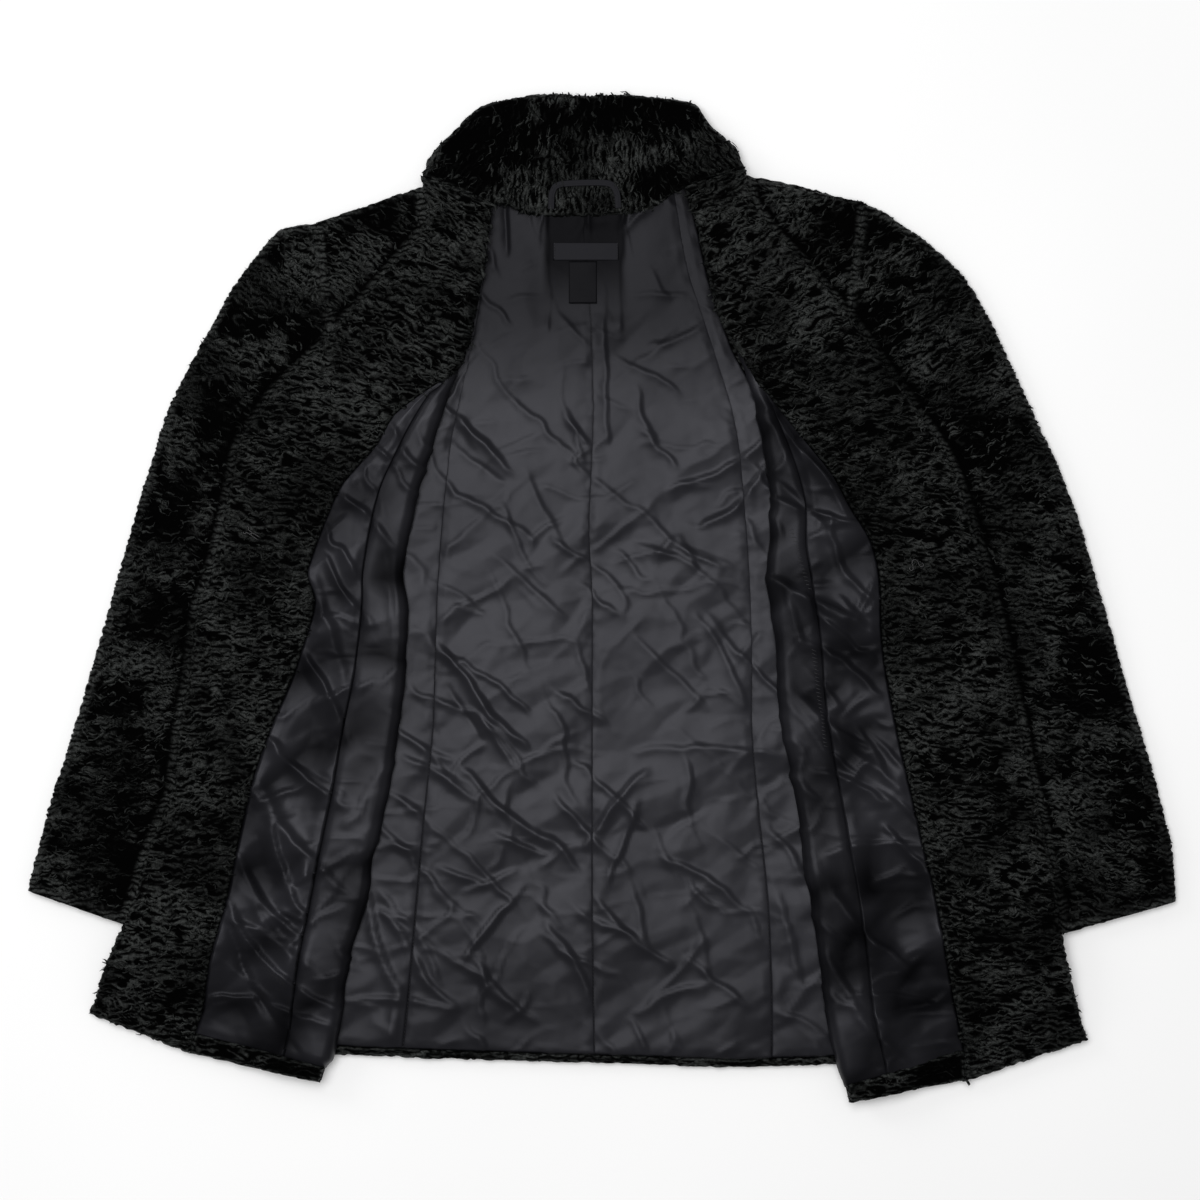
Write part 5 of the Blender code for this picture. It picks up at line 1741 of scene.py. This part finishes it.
def locks_tree():
    """Curled locks of pile over a fur piece: strewn where the pile stands and is seen, turned
    the way that it lies, and waved together with their neighbours."""
    tree, given = new_tree(
        "curled_locks", Length=0.0095, Thickness=0.0007, Spacing=0.0026, Wave=0.005, Seed=1
    )
    number = {"data_type": "FLOAT"}
    seen = add(tree, "GeometryNodeInputNamedAttribute", {"Name": "shown"}, **number).outputs[0]
    stands = add(tree, "GeometryNodeInputNamedAttribute", {"Name": "pile"}, **number).outputs[0]
    lies = add(
        tree, "GeometryNodeInputNamedAttribute", {"Name": "lay"}, data_type="FLOAT_VECTOR"
    ).outputs[0]
    stands = {"Value": stands, "From Min": 0.25, "From Max": 0.75}
    stands = add(tree, "ShaderNodeMapRange", stands).outputs[0]
    share = add(tree, "ShaderNodeMath", {0: seen, 1: stands}, operation="MULTIPLY").outputs[0]
    strewing = {
        "Mesh": given["Geometry"],
        "Distance Min": given["Spacing"],
        "Density Max": 230000.0,
        "Density Factor": share,
        "Seed": given["Seed"],
    }
    strewn = add(
        tree, "GeometryNodeDistributePointsOnFaces", strewing, distribute_method="POISSON"
    ).outputs
    # Each lock's crest gets its own random strength of painted highlight, stored as its pile.
    bright = {2: 0.42, 3: 1.0, "Seed": given["Seed"]}
    bright = add(tree, "FunctionNodeRandomValue", bright, **number).outputs[1]
    marking = {"Geometry": strewn["Points"], "Name": "pile", "Value": bright}
    marked = add(tree, "GeometryNodeStoreNamedAttribute", marking, domain="POINT", **number).outputs[0]
    twist = {0: (-0.1, -0.1, -0.4), 1: (0.1, 0.1, 0.4), "Seed": given["Seed"]}
    twist = add(tree, "FunctionNodeRandomValue", twist, data_type="FLOAT_VECTOR").outputs[0]
    size = {2: 0.6, 3: 1.25, "Seed": given["Seed"]}
    size = add(tree, "FunctionNodeRandomValue", size, **number).outputs[1]
    ends = {"Start": (-0.5, 0, 0), "End": (0.5, 0, 0)}
    line = add(tree, "GeometryNodeCurvePrimitiveLine", ends).outputs[0]
    line = add(tree, "GeometryNodeResampleCurve", {"Curve": line, "Count": 7}).outputs[0]
    bow = arch(tree)
    lift = add(tree, "ShaderNodeMath", {0: bow, 1: 0.0014, 2: -0.0008}, operation="MULTIPLY_ADD").outputs[0]
    there = add(tree, "GeometryNodeInputPosition").outputs[0]
    spread = add(tree, "ShaderNodeSeparateXYZ", {0: there}).outputs
    far = add(tree, "ShaderNodeMath", {0: spread[0], 1: given["Length"]}, operation="MULTIPLY").outputs[0]
    bowed = add(tree, "ShaderNodeCombineXYZ", {0: far, 2: lift}).outputs[0]
    line = add(tree, "GeometryNodeSetPosition", {"Geometry": line, "Position": bowed}).outputs[0]
    taper = add(tree, "ShaderNodeMath", {0: bow, 1: 0.5}, operation="POWER").outputs[0]
    taper = add(tree, "ShaderNodeMath", {0: taper, 1: 0.15}, operation="MAXIMUM").outputs[0]
    width = add(tree, "ShaderNodeMath", {0: taper, 1: given["Thickness"]}, operation="MULTIPLY").outputs[0]
    strewing = {
        "Points": marked,
        "Instance": strand(tree, line, width, 3),
        "Rotation": laid_along(tree, strewn["Normal"], lies, twist),
        "Scale": size,
    }
    locks = add(tree, "GeometryNodeInstanceOnPoints", strewing).outputs[0]
    whole = add(tree, "GeometryNodeRealizeInstances", {"Geometry": locks}).outputs[0]
    spot = add(tree, "GeometryNodeInputPosition").outputs[0]
    for scale, share in LOCK_SWINGS:
        swing = {"Vector": spot, "Scale": scale, "Detail": 0.0}
        swing = add(tree, "ShaderNodeTexNoise", swing).outputs["Color"]
        swing = {0: swing, 1: (0.5, 0.5, 0.5)}
        swing = add(tree, "ShaderNodeVectorMath", swing, operation="SUBTRACT").outputs[0]
        swing = {0: swing, 1: (2 * share, 2 * share, 0.2 * share)}
        swing = add(tree, "ShaderNodeVectorMath", swing, operation="MULTIPLY").outputs[0]
        swing = {0: swing, "Scale": given["Wave"]}
        swing = add(tree, "ShaderNodeVectorMath", swing, operation="SCALE").outputs[0]
        whole = add(tree, "GeometryNodeSetPosition", {"Geometry": whole, "Offset": swing}).outputs[0]
    return finished(tree, whole, MATERIALS["fur"])


# ---- Stitches ----


def stitches_tree():
    """Stitches of thread along a seam's line: short capsules at an even pitch, a little uneven."""
    tree, given = new_tree("thread_stitches", Pitch=0.003, Stitch=0.0022, Thread=0.0003, Slant=0.0)
    line = add(tree, "GeometryNodeMeshToCurve", {"Mesh": given["Geometry"]}).outputs[0]
    pitches = {"Curve": line, "Length": given["Pitch"]}
    spots = add(tree, "GeometryNodeCurveToPoints", pitches, mode="LENGTH").outputs
    uneven = {0: (-0.05, -0.08, -0.14), 1: (0.05, 0.08, 0.14), "Seed": 5}
    uneven = add(tree, "FunctionNodeRandomValue", uneven, data_type="FLOAT_VECTOR").outputs[0]
    slant = add(tree, "ShaderNodeCombineXYZ", {2: given["Slant"]}).outputs[0]
    uneven = add(tree, "ShaderNodeVectorMath", {0: uneven, 1: slant}, operation="ADD").outputs[0]
    half = add(tree, "ShaderNodeMath", {0: given["Stitch"], 1: 0.5}, operation="MULTIPLY").outputs[0]
    back = add(tree, "ShaderNodeMath", {0: half, 1: -1.0}, operation="MULTIPLY").outputs[0]
    start = add(tree, "ShaderNodeCombineXYZ", {0: back}).outputs[0]
    end = add(tree, "ShaderNodeCombineXYZ", {0: half}).outputs[0]
    thread = add(tree, "GeometryNodeCurvePrimitiveLine", {"Start": start, "End": end}).outputs[0]
    thread = add(tree, "GeometryNodeResampleCurve", {"Curve": thread, "Count": 5}).outputs[0]
    bow = arch(tree)
    lift = add(tree, "ShaderNodeMath", {0: bow, 1: 0.0004}, operation="MULTIPLY").outputs[0]
    raised = add(tree, "ShaderNodeCombineXYZ", {2: lift}).outputs[0]
    thread = add(tree, "GeometryNodeSetPosition", {"Geometry": thread, "Offset": raised}).outputs[0]
    taper = add(tree, "ShaderNodeMath", {0: bow, 1: 0.4}, operation="MAXIMUM").outputs[0]
    width = add(tree, "ShaderNodeMath", {0: taper, 1: given["Thread"]}, operation="MULTIPLY").outputs[0]
    sewing = {
        "Points": spots["Points"],
        "Instance": strand(tree, thread, width, 5),
        "Rotation": laid_along(tree, (0.0, 0.0, 1.0), spots["Tangent"], uneven),
    }
    row = add(tree, "GeometryNodeInstanceOnPoints", sewing).outputs[0]
    whole = add(tree, "GeometryNodeRealizeInstances", {"Geometry": row}).outputs[0]
    return finished(tree, whole, MATERIALS["thread"])


SEAM_KNOTS = 2.0  # millimetres between the points of a seam's line
THREAD_LIFT = 0.0001  # metres that the line lies above the cloth
OVER_COAT = 0.2  # metres up, from where the cloth's top is looked for


def stitched(name, seam, cloths, tree, slot, **sizes):
    """A row of stitches along a line of the plan, on the top of the cloths that it crosses."""
    bpy.context.view_layer.update()
    lengths = np.concatenate([[0], np.cumsum(np.hypot(*np.diff(np.array(seam, float), axis=0).T))])
    at = np.arange(0, lengths[-1], SEAM_KNOTS)
    x = np.interp(at, lengths, [p[0] for p in seam]) + CENTRE_SHIFT[0]
    y = np.interp(at, lengths, [p[1] for p in seam]) + CENTRE_SHIFT[1]
    knots = []
    for spot in zip(x * MM, y * MM):
        above = Vector((*spot, OVER_COAT))
        tops = [cloth.ray_cast(above, Vector((0, 0, -1))) for cloth in cloths]
        heights = [hit[1].z for hit in tops if hit[0]]
        if heights:
            knots.append((*spot, max(heights) + THREAD_LIFT))
    mesh = bpy.data.meshes.new(name + "_line")
    mesh.from_pydata(knots, [(k, k + 1) for k in range(len(knots) - 1)], [])
    return settle(grown(name, mesh, tree, **sizes), slot)


# ---- Studio ----


PAPER = 6.0  # metres from its middle to its edges
UNDER_COAT = 0.0005  # metres that it lies below the coat


def studio():
    """The paper that the coat lies on, a softbox over it and a weak one beside it, and the camera."""
    paper = bpy.data.meshes.new("floor")
    corners = [(-PAPER, -PAPER, 0), (PAPER, -PAPER, 0), (PAPER, PAPER, 0), (-PAPER, PAPER, 0)]
    paper.from_pydata(corners, [], [(0, 1, 2, 3)])
    paper.materials.append(studio_paper())
    floor = put("floor", paper)
    floor.location.z = -UNDER_COAT
    world = bpy.data.worlds.new("studio")
    world.use_nodes = True
    feed(world.node_tree, world.node_tree.nodes["Background"], {"Color": (1.0,) * 4, "Strength": 0.30})
    bpy.context.scene.world = world
    lamps = (
        ("softbox_over", (-0.5, 0.5, 3.6), 2.4, 112.0),
        ("softbox_side", (-2.6, 1.6, 1.6), 1.2, 14.0),
    )
    for name, spot, size, power in lamps:
        lamp = bpy.data.lights.new(name, "AREA")
        lamp.shape = "SQUARE"
        lamp.size = size
        lamp.energy = power
        made = put(name, lamp)
        made.location = spot
        made.rotation_euler = (-Vector(spot)).to_track_quat("-Z", "Y").to_euler()
    lens = bpy.data.cameras.new("camera")
    lens.sensor_width = 36.0
    lens.lens = lens.sensor_width * CAMERA_HEIGHT / PHOTO_VIEW[2]
    camera = put("camera", lens)
    camera.location = (PHOTO_VIEW[0] * MM, PHOTO_VIEW[1] * MM, CAMERA_HEIGHT * MM)
    bpy.context.scene.camera = camera
    bpy.context.scene.view_settings.view_transform = "Standard"


# The fur whose locks show. Its curls are pieces of their own.
CURLED = (
    "fur_facing_left",
    "fur_facing_right",
    "fur_sleeve_left",
    "fur_sleeve_right",
    "fur_front_left",
    "fur_front_right",
    "fur_collar_upper",
)

# The back lining's panels with their two seams. One seed keeps their creases whole over a seam.
PANEL_SEAMS = {
    "side_back_left": ("outer_left", "side_left"),
    "back_left": ("side_left", "centre"),
    "back_right": ("centre", "side_right"),
    "side_back_right": ("side_right", "outer_right"),
}
PANEL_SEED = 101

# The stitches that show on the back lining: a seam, and how far up they go.
SEAM_STITCHES = {"left": ("side_left", 0), "right": ("side_right", -40), "centre": ("centre", 300)}


Cut = namedtuple("Cut", "width length area held rests_on")


def curls_of(name):
    """The name of the curls that grow on a fur piece."""
    return name.replace("fur_", "curls_")


def settle(piece, slot, *nodes):
    """The piece lies with the coat, and stands for its solids."""
    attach(piece, "root")
    if nodes:
        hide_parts(*nodes)
    return piece


def lay_back():
    """The back with its lining. The lining's panels come back, to be sewn."""
    settle(back_shell(), "fur_pile", "shell_back")
    panels = []
    for name, seams in PANEL_SEAMS.items():
        panel = back_lining("satin_" + name, *seams, PANEL_SEED)
        panels.append(settle(panel, "satin_lining", "lining_" + name))
    settle(back_hem(), "fur_pile", "hem_back")
    return panels


def lay_front(coat_side):
    """A front with its facing and lining. The linings beside its opening come back, to be sewn."""
    name = coat_side.name
    settle(front_shell(coat_side), "fur_pile", "shell_front_" + name)
    settle(facing(coat_side), "fur_pile", "facing_" + name)
    front = settle(front_lining(coat_side), "satin_lining", "lining_front_" + name)
    roll = settle(roll_lining(coat_side), "satin_lining", "lining_side_" + name)
    settle(front_hem(coat_side), "fur_pile", "hem_front_" + name)
    return [front, roll]


def lay_collar():
    """The under collar, and the upper collar that lies on it."""
    under = collar_layer("fur_collar_under", 0.0, 0, 3.0, (), 51, 0.0)
    settle(under, "fur_pile", "collar_under")
    upper = collar_layer("fur_collar_upper", FUR + 2 * GAP, 1, PILE_STEP, COLLAR_FOLDS, 52, 1.0)
    settle(upper, "fur_pile", "collar_upper")


def curl_fur():
    """Locks on the fur that shows."""
    locks = locks_tree()
    for number, name in enumerate(CURLED):
        mesh = bpy.data.objects[name].data.copy()
        sizes = {"Spacing": FACING_SPACING} if "facing" in name else {}
        settle(grown(curls_of(name), mesh, locks, Seed=number + 1, **sizes), "fur_pile")


def sew(panels, opening):
    """The stitches that show, the loop and the labels."""
    stitches = stitches_tree()
    sizes = {"Pitch": 0.0032, "Stitch": 0.002, "Thread": 0.00022}
    for name, (key, top_y) in SEAM_STITCHES.items():
        seam = [(getattr(row, key), row.y) for row in BACK_PANELS if row.y <= top_y]
        stitched("seam_stitches_" + name, seam, panels, stitches, "satin_lining", **sizes)
    sizes = {"Pitch": 0.0034, "Stitch": 0.0046, "Slant": 1.1}
    for name, seam in WHIPPED.items():
        seam = [from_photo(*p) for p in seam]
        stitched(name, seam, opening, stitches, "satin_lining", **sizes)
    settle(hanging_loop(), "satin_lining", "hang_loop")
    label = settle(bare_label("neck_label", NECK_LABEL, 0.3, 1.0), "label_tape", "label_neck")
    settle(bare_label("care_label", CARE_LABEL, 1.2, 0.4), "label_tape", "label_care")
    left, bottom, right, top = NECK_LABEL
    sizes = {"Pitch": 0.0024, "Stitch": 0.0019}
    for name, x in (("left", left + LABEL_HEM), ("right", right - LABEL_HEM)):
        seam = [(x, top - 1), (x, bottom + 1)]
        stitched("neck_label_stitches_" + name, seam, [label], stitches, "label_tape", **sizes)


def main():
    studio()
    panels = lay_back()
    linings = [lay_front(coat_side) for coat_side in SIDES]
    for coat_side in SIDES:
        settle(sleeve(coat_side), "fur_pile", "sleeve_" + coat_side.name)
    lay_collar()
    curl_fur()
    sew(panels, linings[1])
    settle(bent_wire("hook_wire", HOOK_WIRE, "fur_hook", HOOK_TURN), "hook_wire", "fur_hook")
    settle(bent_wire("eye_wire", EYE_WIRE, "fur_eye", EYE_TURN), "hook_wire", "fur_eye")


main()
